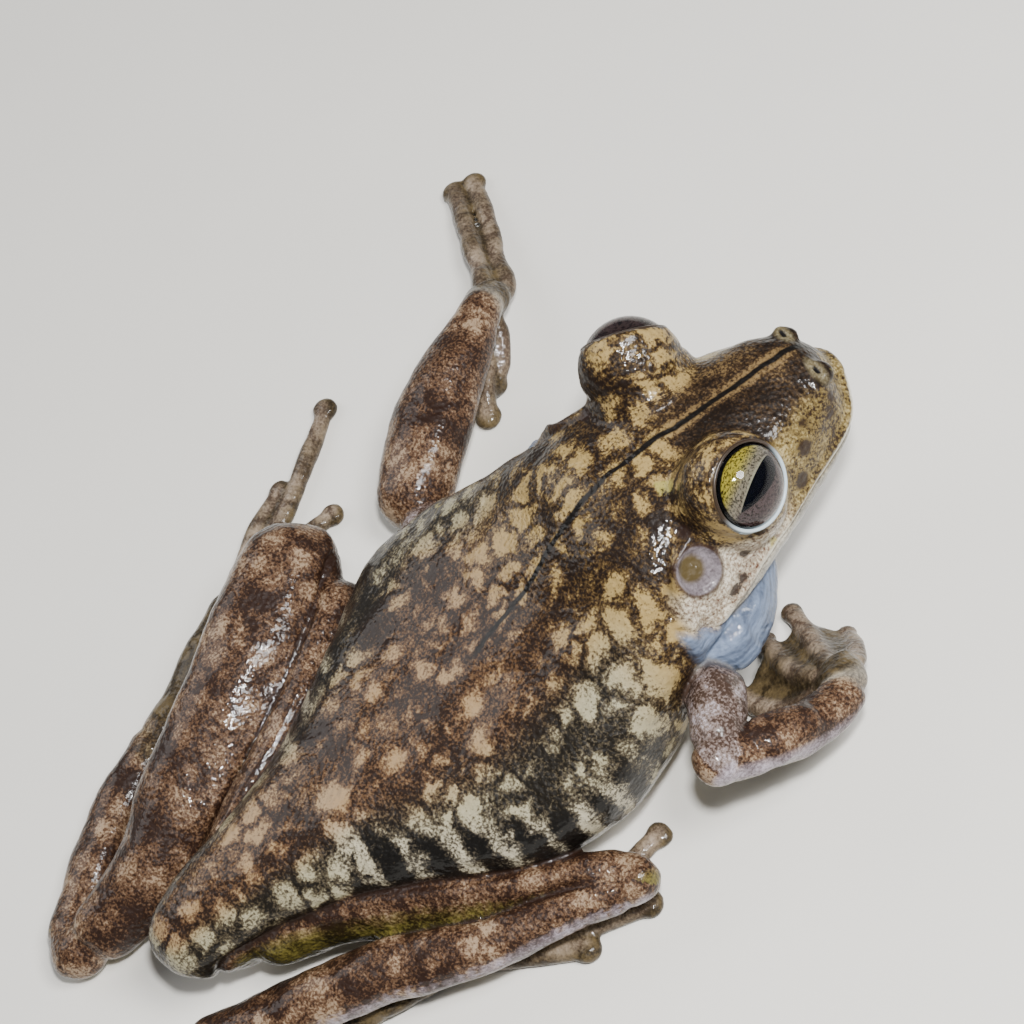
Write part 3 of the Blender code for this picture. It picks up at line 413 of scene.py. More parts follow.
def outline(spot, angle, grow=0.0, taper=1.0):
    """Points of the body's surface: at each place on the spine, a superellipse.

    Its upper half spans from the widest level to the back, its lower half from there to
    the belly. An angle of 0 is the left side, 90 degrees the back.
    """
    wide = smooth(spot, SPINE_Y, HALF_WIDTH) + grow
    level = smooth(spot, SPINE_Y, WIDEST)
    up = smooth(spot, SPINE_Y, TOP) - level + grow
    down = level - smooth(spot, SPINE_Y, BOTTOM) + grow
    power = np.where(np.sin(angle) >= 0, 2 / smooth(spot, SPINE_Y, BOXINESS_TOP), 2 / BOXINESS_BELLY)
    across = np.sign(np.cos(angle)) * np.abs(np.cos(angle)) ** power
    height = np.sign(np.sin(angle)) * np.abs(np.sin(angle)) ** power
    x = smooth(spot, SPINE_Y, SWAY) + taper * wide * across
    z = level + taper * np.where(height >= 0, up, down) * height
    return x, z


def on_body(y, degrees, lift=0.0):
    """Point on the body's surface at a place on the spine, raised by lift."""
    x, z = outline(np.array([float(y)]), np.radians([float(degrees)]), lift)
    return np.array([x[0], y, z[0]])


def mirrored(point, side):
    """A point of the left side, or its twin on the right."""
    return np.asarray(point, float) * [side, 1, 1]


def trunk(rings=170, sides=128):
    """The head and trunk in one, from the snout to the vent, rounded off at both ends."""
    start, end = SPINE_Y[0], SPINE_Y[-1]
    along = start + (end - start) * (1 - np.cos(np.linspace(POLE_GAP, np.pi - POLE_GAP, rings))) / 2
    closeness = np.minimum(along - start, end - along) / END_ROUND
    taper = np.sqrt(1 - np.clip(1 - closeness, 0, 1) ** 2)
    angle = np.linspace(0, 2 * np.pi, sides, endpoint=False)
    x, z = outline(np.repeat(along, sides), np.tile(angle, rings), 0.0, np.repeat(taper, sides))
    points = np.stack([x, np.repeat(along, sides), z], -1).reshape(rings, sides, 3)
    ends = [(SWAY[k], SPINE_Y[k], WIDEST[k]) for k in (0, -1)]
    return closed_rings(points, *ends)


def path_lengths(path):
    """Distance of each point of a path from its start."""
    return np.concatenate([[0.0], np.cumsum(np.linalg.norm(np.diff(path, axis=0), axis=1))])


def path_frame(path, spot, roll):
    """Centres, and the directions of the width and the height, at distances along a path."""
    lengths = path_lengths(path)
    total = lengths[-1]
    step = 0.05
    centre = smooth(spot, lengths, path)
    forward = unit(smooth(np.clip(spot + step, 0, total), lengths, path)
                   - smooth(np.clip(spot - step, 0, total), lengths, path))
    side = unit(np.cross(forward, [0.0, 0.0, 1.0]))
    over = np.cross(side, forward)
    turn = np.radians(roll)
    return centre, side * np.cos(turn) + over * np.sin(turn), over * np.cos(turn) - side * np.sin(turn)


def tube(path, half_width, half_height, roll=0.0, rings=44, sides=36, pole_gap=0.05):
    """Ellipses carried along a smooth path, with a quarter round at both ends."""
    path = np.asarray(path, float)
    total = path_lengths(path)[-1]
    places = np.linspace(0, total, len(half_width))
    reach = (half_width[0] + half_height[0]) / 2, (half_width[-1] + half_height[-1]) / 2
    along = total * (1 - np.cos(np.linspace(pole_gap, np.pi - pole_gap, rings))) / 2
    centre, major, minor = path_frame(path, along, roll)
    taper = (np.sqrt(1 - np.clip(1 - along / reach[0], 0, 1) ** 2)
             * np.sqrt(1 - np.clip(1 - (total - along) / reach[1], 0, 1) ** 2))
    wide = smooth(along, places, half_width) * taper
    high = smooth(along, places, half_height) * taper
    angle = np.linspace(0, 2 * np.pi, sides, endpoint=False)
    ring = (centre[:, None, :] + major[:, None, :] * (wide[:, None] * np.cos(angle))[..., None]
            + minor[:, None, :] * (high[:, None] * np.sin(angle))[..., None])
    return closed_rings(ring, path[0], path[-1])


def ball(centre, half, rings=30, sides=48):
    """Ellipsoid with its poles up and down."""
    fall = np.linspace(0, np.pi, rings + 2)[1:-1, None]
    turn = np.linspace(0, 2 * np.pi, sides, endpoint=False)[None, :]
    ring = np.stack([half[0] * np.sin(fall) * np.cos(turn), half[1] * np.sin(fall) * np.sin(turn),
                     half[2] * np.cos(fall) + 0 * turn], -1) + centre
    centre = np.asarray(centre, float)
    return closed_rings(ring, centre + [0, 0, half[2]], centre - [0, 0, half[2]])


def web(first, second, reach, dip, rows=16, columns=12):
    """Membrane between two digits, straight across, with a free edge hollowed as a parabola.

    It is a slab: the grid of points lifted and lowered by half the thickness, and a rim.
    """
    along = np.linspace(WEB_START, 1, rows)[:, None]
    across = np.linspace(-WEB_OVERLAP, 1 + WEB_OVERLAP, columns)[None, :]
    share = along * reach * (1 - dip * 4 * across * (1 - across))
    sides = []
    for path in (first, second):
        lengths = path_lengths(path)
        sides.append(smooth(share * lengths[-1], lengths, path))
    middle = sides[0] * (1 - across[..., None]) + sides[1] * across[..., None]
    lift = np.array([0.0, 0.0, WEB_THICKNESS / 2])
    points = np.vstack([(middle + lift).reshape(-1, 3), (middle - lift).reshape(-1, 3)])
    under = rows * columns
    corner = (np.arange(rows - 1)[:, None] * columns + np.arange(columns - 1)).ravel()
    quads = np.stack([corner, corner + 1, corner + columns + 1, corner + columns], -1)
    rim = np.concatenate([np.arange(columns - 1), np.arange(rows - 1) * columns + columns - 1,
                          under - 1 - np.arange(columns - 1), np.arange(rows - 1, 0, -1) * columns])
    there = np.roll(rim, -1)
    walls = np.stack([there, rim, under + rim, under + there], -1)
    return points, quads.tolist() + (quads[:, ::-1] + under).tolist() + walls.tolist()


def gaze(side):
    """Direction of an eye: outwards, raised and turned forward."""
    up, forward = np.radians([EYE_UP, EYE_FORWARD])
    return np.array([side * np.cos(up) * np.cos(forward), -np.cos(up) * np.sin(forward), np.sin(up)])


def lip_path():
    """Middle line of the upper lip's edge, from the left corner of the jaw round to the right."""
    left = [on_body(y, LIP_ANGLE, -LIP_SINK) for y in LIP_STATIONS]
    front = np.array([0.0, SPINE_Y[0] - LIP_SINK, WIDEST[0] + LIP_FRONT])
    return left + [front] + [point * [-1, 1, 1] for point in left[::-1]]


def skin_forms():
    """Every closed form that the skin covers, as pairs of points and faces."""
    forms = [trunk(), ball(SAC_CENTRE, SAC_HALF, 60, 90)]
    for path, half_width, half_height, roll in LIMBS.values():
        forms.append(tube(path, half_width, half_height, roll))
    forms += [tube(path, half_width, half_height) for path, half_width, half_height in JOINTS]
    for name, (path, half_width, half_height) in PALMS.items():
        forms.append(tube(path, half_width, half_height))
        digits = [np.asarray(path, float) for path in DIGITS[name]]
        for digit in digits:
            forms.append(tube(digit, [DIGIT_RADIUS] * 2, [DIGIT_RADIUS * DIGIT_FLAT] * 2, sides=20))
            forms.append(ball(digit[-1], np.array(DISC_HALF) * DISC_SIZE[name], 12, 24))
        for first, second, (reach, dip) in zip(digits, digits[1:], WEBS[name]):
            forms.append(web(first, second, reach, dip))
    for side in (1, -1):
        forms.append(ball(mirrored(EYE_CENTRE, side), [LID_RADIUS] * 3))
        forms.append(ball(mirrored(ORBIT_CENTRE, side), ORBIT_HALF))
        forms.append(ball(mirrored(NOSTRIL, side) - [0, 0, NOSTRIL_SINK], NOSTRIL_RIM_HALF))
        fold = [mirrored(on_body(y, angle, -FOLD_SINK), side) for y, angle in FOLD_STATIONS]
        forms.append(tube(fold, [FOLD_RADIUS] * 3, [FOLD_RADIUS] * 3, sides=20))
    forms.append(tube(lip_path(), [LIP_RADIUS] * 3, [LIP_RADIUS] * 3, rings=120, sides=16))
    return forms


def add_mesh(name, points, faces):
    """New object from points in millimetres."""
    mesh = bpy.data.meshes.new(name)
    mesh.from_pydata((np.asarray(points) * MM).tolist(), [], faces)
    mesh.shade_smooth()
    piece = bpy.data.objects.new(name, mesh)
    bpy.context.scene.collection.objects.link(piece)
    return piece


def outward(points, faces):
    """The same form with its faces turned outwards, told by the sign of its volume."""
    fans = np.array([(face[0], face[k], face[k + 1]) for face in faces for k in range(1, len(face) - 1)])
    a, b, c = points[fans[:, 0]], points[fans[:, 1]], points[fans[:, 2]]
    if np.sum(a * np.cross(b, c)) < 0:
        faces = [face[::-1] for face in faces]
    return points, faces


def joined(forms):
    """One list of points and faces from many."""
    points, faces, count = [], [], 0
    for form in forms:
        these, those = outward(*form)
        points.append(these)
        faces += [[count + point for point in face] for face in those]
        count += len(these)
    return np.vstack(points), faces


def apply_modifiers(piece):
    """Keep what a piece's modifiers make."""
    graph = bpy.context.evaluated_depsgraph_get()
    result = bpy.data.meshes.new_from_object(piece.evaluated_get(graph))
    piece.modifiers.clear()
    old = piece.data
    piece.data = result
    bpy.data.meshes.remove(old)


def vertices_of(mesh):
    """Vertex places in millimetres."""
    flat = np.empty(len(mesh.vertices) * 3)
    mesh.vertices.foreach_get("co", flat)
    return flat.reshape(-1, 3) / MM


def set_vertices(mesh, points):
    """Move the vertices to places in millimetres."""
    mesh.vertices.foreach_set("co", (points * MM).ravel())
    mesh.update()


def normals_of(mesh):
    """Vertex normals."""
    flat = np.empty(len(mesh.vertices) * 3)
    mesh.vertex_normals.foreach_get("vector", flat)
    return flat.reshape(-1, 3)


def edges_of(mesh):
    """The two vertices of each edge."""
    ends = np.empty(len(mesh.edges) * 2, np.int64)
    mesh.edges.foreach_get("vertices", ends)
    return ends.reshape(-1, 2)


def neighbour_mean(values, ends, degree):
    """Mean of the values of each vertex's neighbours, for values with columns."""
    total = np.empty_like(values)
    for column in range(values.shape[1]):
        total[:, column] = (np.bincount(ends[:, 0], values[ends[:, 1], column], len(values))
                            + np.bincount(ends[:, 1], values[ends[:, 0], column], len(values)))
    return total / degree


def soften_creases(mesh, first_steps=4, rounds=3, spread=8, steps=7, hollow_range=(0.004, 0.03)):
    """Fill the hollow creases where forms meet, and take the steps out of the surface.

    A vertex whose neighbours lie outside its tangent plane is in a crease. Each round reads
    that hollow, spreads it over the neighbours, and smooths most where it is strong.
    """
    ends = edges_of(mesh)
    points = vertices_of(mesh)
    degree = np.bincount(ends.ravel(), minlength=len(points))[:, None].astype(float)
    for _ in range(first_steps):
        points += 0.5 * (neighbour_mean(points, ends, degree) - points)
    for _ in range(rounds):
        set_vertices(mesh, points)
        normal = normals_of(mesh)
        hollow = np.sum((neighbour_mean(points, ends, degree) - points) * normal, axis=1, keepdims=True)
        weight = ease(hollow, *hollow_range)
        for _ in range(spread):
            weight = np.maximum(weight, neighbour_mean(weight, ends, degree))
        for _ in range(steps):
            points += 0.6 * weight * (neighbour_mean(points, ends, degree) - points)
    set_vertices(mesh, points)


def shape_lids(points):
    """Open the lids: skin nearer the gaze than the opening is drawn in behind the eyeball.

    Skin next to the opening is turned about the eye onto the opening's own circle, which
    makes a clean rim. A low brow swells over the upper lid.
    """
    for side in (1, -1):
        centre = mirrored(EYE_CENTRE, side)
        ahead = gaze(side)
        away = points - centre
        distance = np.linalg.norm(away, axis=1)
        angle = np.degrees(np.arccos(np.clip(away @ ahead / np.maximum(distance, 1e-6), -1, 1)))
        past = angle - LID_OPENING
        near = (distance < LID_RADIUS + LID_THICK) & (past < LID_REACH)
        rim = near & (np.abs(past) < LID_SNAP)
        inside = near & (past <= -LID_SNAP)
        sideways = unit(away - (away @ ahead)[:, None] * ahead)
        wide = np.where(rim, np.radians(LID_OPENING), np.radians(angle))
        ridge = BROW * ease(sideways[:, 2], -0.1, 0.8) * bell(np.maximum(past - BROW_START, 0), BROW_WIDE)
        reach = distance + ridge * ease(past, -2.0, BROW_START)
        reach = reach + (LID_RIM - LID_RADIUS) * bell(past, RIM_WIDE)
        reach = np.where(rim, LID_RIM, reach)
        reach = np.where(inside, SOCKET_RADIUS, reach)
        moved = centre + reach[:, None] * (np.cos(wide)[:, None] * ahead + np.sin(wide)[:, None] * sideways)
        points[near] = moved[near]
    return points


def surface_detail(mesh):
    """Move the skin's vertices for folds, drum ring, nostrils, mouth line and floor flats."""
    points = vertices_of(mesh)
    normal = normals_of(mesh)
    push = -FOLD_DEPTH * part_folds(points)
    for height, size, seed in LUMPS:
        push += height * lumps(points, size, seed)
    for side in (1, -1):
        far = np.linalg.norm(points - mirrored(on_body(DRUM_Y, DRUM_ANGLE), side), axis=1)
        push += DRUM_RIM * bell(far - DRUM_RADIUS, DRUM_RIM_HALF)
        push -= DRUM_SUNK * ease(DRUM_RADIUS - far, 0.1, 0.6)
        far = nostril_gap(points, side)
        push += NOSTRIL_LIP * bell(far - 2.0, 0.9) - NOSTRIL_DEPTH * bell(far, 1.0)
        push -= CREASE_DEPTH * bell(crease_gap(points, side), CREASE_HALF)
    height = mouth_height(points)
    front = ease(MOUTH_END_Y - points[:, 1], -0.5, 1.0)
    push -= MOUTH_DEPTH * front * bell(height, MOUTH_HALF) * (np.abs(height) < 1)
    lobe, over = sac_lobe(points)
    push += LOBE_HEIGHT * lobe - LOBE_GROOVE * bell(over, LOBE_GROOVE_HALF)
    points += normal * push[:, None]
    points = shape_lids(points)
    points[:, 2] = np.maximum(points[:, 2], 0.0)
    set_vertices(mesh, points)


def lumps(points, size, seed):
    """Rolling unevenness between -1 and 1: eight sine waves of about one size, each its own way."""
    dice = np.random.default_rng(seed)
    ways = unit(dice.normal(size=(8, 3))) * (2 * np.pi / (size * dice.uniform(0.7, 1.5, (8, 1))))
    return np.mean(np.sin(points @ ways.T + dice.uniform(0, 2 * np.pi, 8)), axis=1) * 1.6


def mouth_height(points):
    """Height of each point above the line of the mouth."""
    spine = np.clip(points[:, 1], SPINE_Y[0], SPINE_Y[-1])
    return points[:, 2] - (smooth(spine, SPINE_Y, WIDEST) - MOUTH_DROP)


def make_skin():
    """The whole skin: forms joined by a voxel remesh, softened, detailed and thinned."""
    skin = add_mesh("frog_skin", *joined(skin_forms()))
    remesh = skin.modifiers.new("remesh", "REMESH")
    remesh.mode = "VOXEL"
    remesh.voxel_size = VOXEL * MM
    remesh.adaptivity = 0.0
    apply_modifiers(skin)
    soften_creases(skin.data)
    surface_detail(skin.data)
    faces = sum(len(face.vertices) - 2 for face in skin.data.polygons)
    thin = skin.modifiers.new("thin", "DECIMATE")
    thin.ratio = min(1.0, SKIN_TRIANGLES / faces)
    apply_modifiers(skin)
    skin.data.shade_smooth()
    return skin


def path_gap(points, path, radius, samples=40):
    """Gap to a round limb, distance along it in mm, and the offset from its middle line.

    The nearest of the samples along the path stands for the middle line. Points further than
    3 mm outside the limb's box are left far.
    """
    path = np.asarray(path, float)
    lengths = path_lengths(path)
    spots = np.linspace(0, lengths[-1], samples)
    middle = smooth(spots, lengths, path)
    thick = smooth(spots, np.linspace(0, lengths[-1], len(radius)), radius)
    reach = 3.0 + np.max(radius)
    close = np.all((points > middle.min(0) - reach) & (points < middle.max(0) + reach), axis=1)
    apart = np.linalg.norm(points[close][:, None, :] - middle[None, :, :], axis=2) - thick
    nearest = np.argmin(apart, axis=1)
    gap, spot, offset = np.full(len(points), FAR), np.zeros(len(points)), np.ones((len(points), 3))
    gap[close] = apart[np.arange(len(nearest)), nearest]
    spot[close] = spots[nearest]
    offset[close] = points[close] - middle[nearest]
    return gap, spot, offset


def trunk_gap(points):
    """Gap to the trunk: how far the superellipse's own radius is passed, in mm."""
    y = np.clip(points[:, 1], SPINE_Y[0], SPINE_Y[-1])
    wide = smooth(y, SPINE_Y, HALF_WIDTH)
    level = smooth(y, SPINE_Y, WIDEST)
    top, bottom = smooth(y, SPINE_Y, TOP), smooth(y, SPINE_Y, BOTTOM)
    high = np.where(points[:, 2] > level, top - level, level - bottom)
    across = np.abs(points[:, 0] - smooth(y, SPINE_Y, SWAY)) / wide
    upward = np.abs(points[:, 2] - level) / high
    power = smooth(y, SPINE_Y, BOXINESS_TOP)
    ratio = (across ** power + upward ** power) ** (1 / power)
    return (ratio - 1) * np.minimum(wide, high) + np.abs(points[:, 1] - y)


def sac_gap(points):
    """Gap to the vocal sac: how far the ellipsoid's own radius is passed, in mm."""
    return (np.linalg.norm((points - SAC_CENTRE) / SAC_HALF, axis=1) - 1) * min(SAC_HALF)


def limb_gaps(points):
    """The name and path of each limb, and what path_gap says of the points."""
    for name, (path, half_width, half_height, _) in LIMBS.items():
        yield name, path, path_gap(points, path, (np.array(half_width) + half_height) / 2)


def nostril_gap(points, side):
    """Distance from a nostril's middle, in half widths of its pit."""
    return np.linalg.norm((points - mirrored(NOSTRIL, side)) / NOSTRIL_PIT, axis=1)


def crease_gap(points, side):
    """Distance from the crease behind an eye."""
    return path_gap(points, [mirrored(place, -side) for place in CREASE], [0.0, 0.0])[0]


def sac_lobe(points):
    """Share of the vocal sac's lobe that bulges out under the cheek, and height over its border."""
    y = points[:, 1]
    over = points[:, 2] - np.interp(y, *np.transpose(CHEEK_BORDER))
    place = ease(y, *LOBE_REAR) * ease(y, *LOBE_FRONT) * ease(np.abs(points[:, 0]), *LOBE_OUT)
    share = place * ease(-over, 0.0, 0.4) * ease(points[:, 2], *LOBE_UP)
    return share, np.where(place > 0.5, over, FAR)


def part_folds(points):
    """Share of a fold: 1 on the line where two parts of the body press together.

    There a point is equally far from the two parts. Elbows, knees and heels are left smooth.
    """
    gaps = [trunk_gap(points), sac_gap(points)]
    bend = np.full(len(points), FAR)
    for name, path, (gap, _, _) in limb_gaps(points):
        gaps.append(gap)
        if not name.startswith(("upper_arm", "thigh")):
            bend = np.minimum(bend, np.linalg.norm(points - path[0], axis=1))
    first, second = np.partition(np.array(gaps), 1, axis=0)[:2]
    return bell(second - first, FOLD_HALF) * (1 - ease(second, 0.6, 1.4)) * ease(bend, *FOLD_BEND)


def limb_masks(points):
    """For the nearest limb: the gap to it, how far out a point faces, the distance along it, and
    whether it is an upper arm or a thigh. On the thighs the side towards the body counts as outer.
    """
    masks = {"gap": np.full(len(points), FAR)}
    masks.update({name: np.zeros(len(points)) for name in ("edge", "band_mm", "arm", "thigh")})
    for name, _, (gap, spot, offset) in limb_gaps(points):
        outer = offset[:, 0] * (1 if name.endswith("left") else -1)
        outer = outer / np.maximum(np.linalg.norm(offset, axis=1), 1e-6)
        thigh = name.startswith("thigh")
        own = gap < masks["gap"]
        values = {"gap": gap, "edge": -outer if thigh else outer, "band_mm": spot,
                  "arm": name.startswith("upper_arm"), "thigh": thigh}
        masks = {kind: np.where(own, values[kind], masks[kind]) for kind in masks}
    return masks


def hand_gaps(points):
    """Gap to the nearest palm, sole or web, and to the nearest digit."""
    palm, digit_gap = np.full(len(points), FAR), np.full(len(points), FAR)
    for name, (path, half_width, _) in PALMS.items():
        palm = np.minimum(palm, path_gap(points, path, half_width, 12)[0])
        digits = [np.asarray(path, float) for path in DIGITS[name]]
        for digit in digits:
            digit_gap = np.minimum(digit_gap, path_gap(points, digit, [DIGIT_RADIUS] * 2, 24)[0])
        for first, second in zip(digits, digits[1:]):
            middle = (first[[0, -1]] + second[[0, -1]]) / 2
            palm = np.minimum(palm, path_gap(points, middle, [1.0, 2.0], 12)[0])
    return palm, digit_gap


def eye_masks(points):
    """Round the eyes: the angle from the gaze in degrees, and shares of the lower lid, of the lids' rim,
    of the socket, where painted shade darkens the skin behind the lids, and of the orbit as a whole.
    """
    masks = {name: np.zeros(len(points)) for name in ("lower_lid", "rim", "socket", "orbit")}
    masks["lid_deg"] = np.full(len(points), 180.0)
    for side in (1, -1):
        away = points - mirrored(EYE_CENTRE, side)
        distance = np.linalg.norm(away, axis=1)
        ahead = away @ gaze(side)
        angle = np.degrees(np.arccos(np.clip(ahead / np.maximum(distance, 1e-6), -1, 1)))
        near = 1 - ease(distance, LID_RADIUS + 0.5, LID_RADIUS + 1.5)
        low = ease(-(away - gaze(side) * ahead[:, None])[:, 2], -0.8, 1.6)
        masks["lid_deg"] = np.minimum(masks["lid_deg"], angle + 90 * (1 - near))
        values = {"lower_lid": low, "orbit": 1.0,
                  "rim": ease(LID_OPENING + RIM_PAINTED + RIM_LOWER * low - angle, 0.0, 1.2),
                  "socket": ease(LID_OPENING - SOCKET_START - angle, 0.0, 0.5)}
        for name, value in values.items():
            masks[name] = np.maximum(masks[name], value * near)
    return masks


def head_marks(points):
    """Distances in mm from the eardrums and their olive middles, and shares of the crease behind
    the eye, of the dark spots and of the nostrils.
    """
    far = {name: np.full(len(points), FAR) for name in ("drum_mm", "olive_mm", "crease")}
    spots, pit = np.zeros(len(points)), np.zeros(len(points))
    for side in (1, -1):
        centre = mirrored(on_body(DRUM_Y, DRUM_ANGLE), side)
        olive = centre + mirrored(DRUM_OLIVE_SHIFT, side)
        found = {"drum_mm": np.linalg.norm(points - centre, axis=1),
                 "olive_mm": np.linalg.norm(points - olive, axis=1), "crease": crease_gap(points, side)}
        far = {name: np.minimum(far[name], found[name]) for name in far}
        for place, radius in DARK_SPOTS:
            gap = np.linalg.norm(points - mirrored(place, -side), axis=1)
            spots = np.maximum(spots, 1 - ease(gap, radius * 0.5, radius * 1.5))
        pit = np.maximum(pit, 1 - ease(nostril_gap(points, side), 0.5, 4.5))
    far["crease"] = bell(far["crease"], CREASE_DARK_HALF)
    return {**far, "spots": spots, "pit": pit}


def trunk_regions(points, rest):
    """Shares of the regions in the table, each within the rest that is trunk or head."""
    y, z = points[:, 1], points[:, 2]
    spine = np.clip(y, SPINE_Y[0], SPINE_Y[-1])
    level, top, bottom = (smooth(spine, SPINE_Y, row) for row in (WIDEST, TOP, BOTTOM))
    height = (z - level) / (top - level)
    measures = {"y": y, "height": height, "mouth": mouth_height(points),
                "rise": (z - bottom) / (top - bottom) - FLANK_SLOPE * y}
    regions = {"warm": ease(y, -6.0, 6.0) * ease(height, 0.72, 0.95)}
    for name, limits in REGIONS.items():
        regions[name] = rest
        for measure, none, full in limits:
            regions[name] = regions[name] * ease(measures[measure], none, full)
    return regions


def skin_masks(points, normal):
    """What tells the skin's material where each marking lies: shares from 0 to 1, and
    distances in mm whose name ends in _mm or an angle in degrees that ends in _deg.
    """
    body, sac = trunk_gap(points), sac_gap(points)
    masks = limb_masks(points)
    limb = masks.pop("gap")
    palm, digit = hand_gaps(points)
    hand = np.minimum(palm, digit)
    limb_share = ease(np.minimum(body, sac) - limb, -0.5, 0.5) * ease(hand - limb, -0.6, 0.6)
    hand_share = ease(np.minimum(np.minimum(body, sac), limb) - hand, -0.6, 0.6)
    sac_share = ease(np.minimum(np.minimum(body, limb), hand) - sac, -0.25, 0.25)
    sac_share = np.maximum(sac_share, sac_lobe(points)[0] * (1 - limb_share))
    rest = 1 - np.maximum(np.maximum(limb_share, hand_share), sac_share)
    masks.update({"limb": limb_share, "hand": hand_share, "sac": sac_share})
    masks.update({"arm": limb_share * masks["arm"], "thigh": limb_share * masks["thigh"]})
    masks["ridge"] = ease(-digit, -0.15, 0.35) * hand_share
    masks["belly"] = ease(-normal[:, 2], 0.35, 0.8)
    # painted shade: the skin darkens along the folds where parts press together
    masks["fold"] = part_folds(points)
    masks["spine_mm"] = points[:, 0] - np.interp(points[:, 1], LINE_Y, LINE_X)
    masks["lip"] = ((1 - ease(path_gap(points, lip_path(), [LIP_RADIUS] * 2, 90)[0], 0.02, 0.2))
                    * (1 - ease(mouth_height(points), 0.95, 1.15))
                    * ease(MOUTH_END_Y - points[:, 1], -0.3, 0.5))
    masks.update({**trunk_regions(points, rest), **eye_masks(points), **head_marks(points)})
    masks["snout"] = masks["snout"] * (1 - masks["orbit"])
    return masks


def set_masks(mesh, masks):
    """Keep each share as an attribute of the mesh's points."""
    for name, values in masks.items():
        layer = mesh.attributes.new(name, "FLOAT", "POINT")
        layer.data.foreach_set("value", np.asarray(values, np.float32))


def linear(colour):
    """sRGB hex colour as linear red, green, blue and alpha."""
    part = np.array([int(colour[k:k + 2], 16) for k in (1, 3, 5)]) / 255
    return (*np.where(part <= 0.04045, part / 12.92, ((part + 0.055) / 1.055) ** 2.4), 1.0)


def add(tree, kind, inputs, out=0, **settings):
    """New node with its own settings; its sockets take a value or another node's output."""
    made = tree.nodes.new(kind)
    for name, value in settings.items():
        setattr(made, name, value)
    for socket, value in inputs.items():
        if isinstance(value, bpy.types.NodeSocket):
            tree.links.new(value, made.inputs[socket])
        else:
            made.inputs[socket].default_value = value
    return made.outputs[out]


def new_material(name):
    """Empty material and its node tree."""
    material = bpy.data.materials.new(name)
    material.use_nodes = True
    material.node_tree.nodes.clear()
    return material, material.node_tree


def finish_material(tree, settings):
    """One Principled shader with the given sockets, and the output."""
    shader = add(tree, "ShaderNodeBsdfPrincipled", settings)
    surface = tree.nodes.new("ShaderNodeOutputMaterial").inputs["Surface"]
    tree.links.new(shader, surface)


def skin_cells(tree, moved, share):
    """Share of a cell, from 0 on the net to full at its middle, and the cell's own tone."""
    drawn = add(tree, "ShaderNodeVectorMath", {0: moved, 1: CELL_DRAWN}, operation="MULTIPLY")
    border = add(tree, "ShaderNodeTexVoronoi", {"Vector": drawn, "Scale": CELLS}, "Distance",
                 feature="DISTANCE_TO_EDGE")
    tone = add(tree, "ShaderNodeTexVoronoi", {"Vector": drawn, "Scale": CELLS}, "Color")
    centre = tone.node.outputs["Distance"]
    cell = add(tree, "ShaderNodeMapRange", {"Value": border, "From Max": NET_EDGE, "To Max": CELL_LIGHT},
               "Result", interpolation_type="SMOOTHSTEP")
    round_cell = add(tree, "ShaderNodeMapRange", {"Value": centre, "From Min": 0.7, "From Max": 0.25,
                                                  "To Min": 0.35}, "Result")
    cell = add(tree, "ShaderNodeMath", {0: cell, 1: round_cell}, operation="MULTIPLY")
    for name, lost in REGION_PLAIN.items():
        kept = add(tree, "ShaderNodeMath", {0: share[name], 1: -lost, 2: 1.0}, operation="MULTIPLY_ADD")
        cell = add(tree, "ShaderNodeMath", {0: cell, 1: kept}, operation="MULTIPLY")
    return cell, tone


def skin_lightness(tree, moved, share, noise):
    """Lightness from net to cell: the cells, layers of unevenness about their means, the regions' own
    shifts with painted shade in the folds between parts, the pale bars of the flanks, and the bands and
    painted wrinkles of the table.
    """
    cell, tone = skin_cells(tree, moved, share)
    layers = {"tone": tone, **noise}
    base = BASE_LIGHT - sum(LAYER_LIGHT.values()) / 2
    light = add(tree, "ShaderNodeMath", {0: cell, 1: base}, operation="ADD")
    rows = add(tree, "ShaderNodeTexWave", {"Vector": moved, "Scale": BARS}, bands_direction="Y")
    bars = add(tree, "ShaderNodeMath", {0: rows, 1: BAR_LIGHT, 2: BAR_DARK}, operation="MULTIPLY_ADD")
    terms = [(layers[name], strength) for name, strength in LAYER_LIGHT.items()]
    terms += [(share[name], shift) for name, shift in REGION_LIGHT.items()]
    terms.append((bars, share["flank"]))
    # the rings round the eyes are painted shade and light that stand for wrinkles
    for measure, apart, wander, region, strength in RIPPLES:
        bent = add(tree, "ShaderNodeMath", {0: noise["clusters"], 1: wander, 2: share[measure]},
                   operation="MULTIPLY_ADD")
        turn = add(tree, "ShaderNodeMath", {0: bent, 1: 2 * np.pi / apart}, operation="MULTIPLY")
        wave = add(tree, "ShaderNodeMath", {0: turn}, operation="SINE")
        wave = add(tree, "ShaderNodeMath", {0: wave, 1: share[region]}, operation="MULTIPLY")
        terms.append((wave, strength))
    for term, strength in terms:
        light = add(tree, "ShaderNodeMath", {0: term, 1: strength, 2: light}, operation="MULTIPLY_ADD")
    return light


def distance_aside(tree, share, noise):
    """Distance from the dark middle line of the back, which wanders from side to side."""
    aside = share["spine_mm"]
    for name, reach in LINE_WANDER.items():
        aside = add(tree, "ShaderNodeMath", {0: noise[name], 1: reach, 2: aside}, operation="MULTIPLY_ADD")
    aside = add(tree, "ShaderNodeMath", {0: aside, 1: -sum(LINE_WANDER.values()) / 2}, operation="ADD")
    return add(tree, "ShaderNodeMath", {0: aside}, operation="ABSOLUTE")


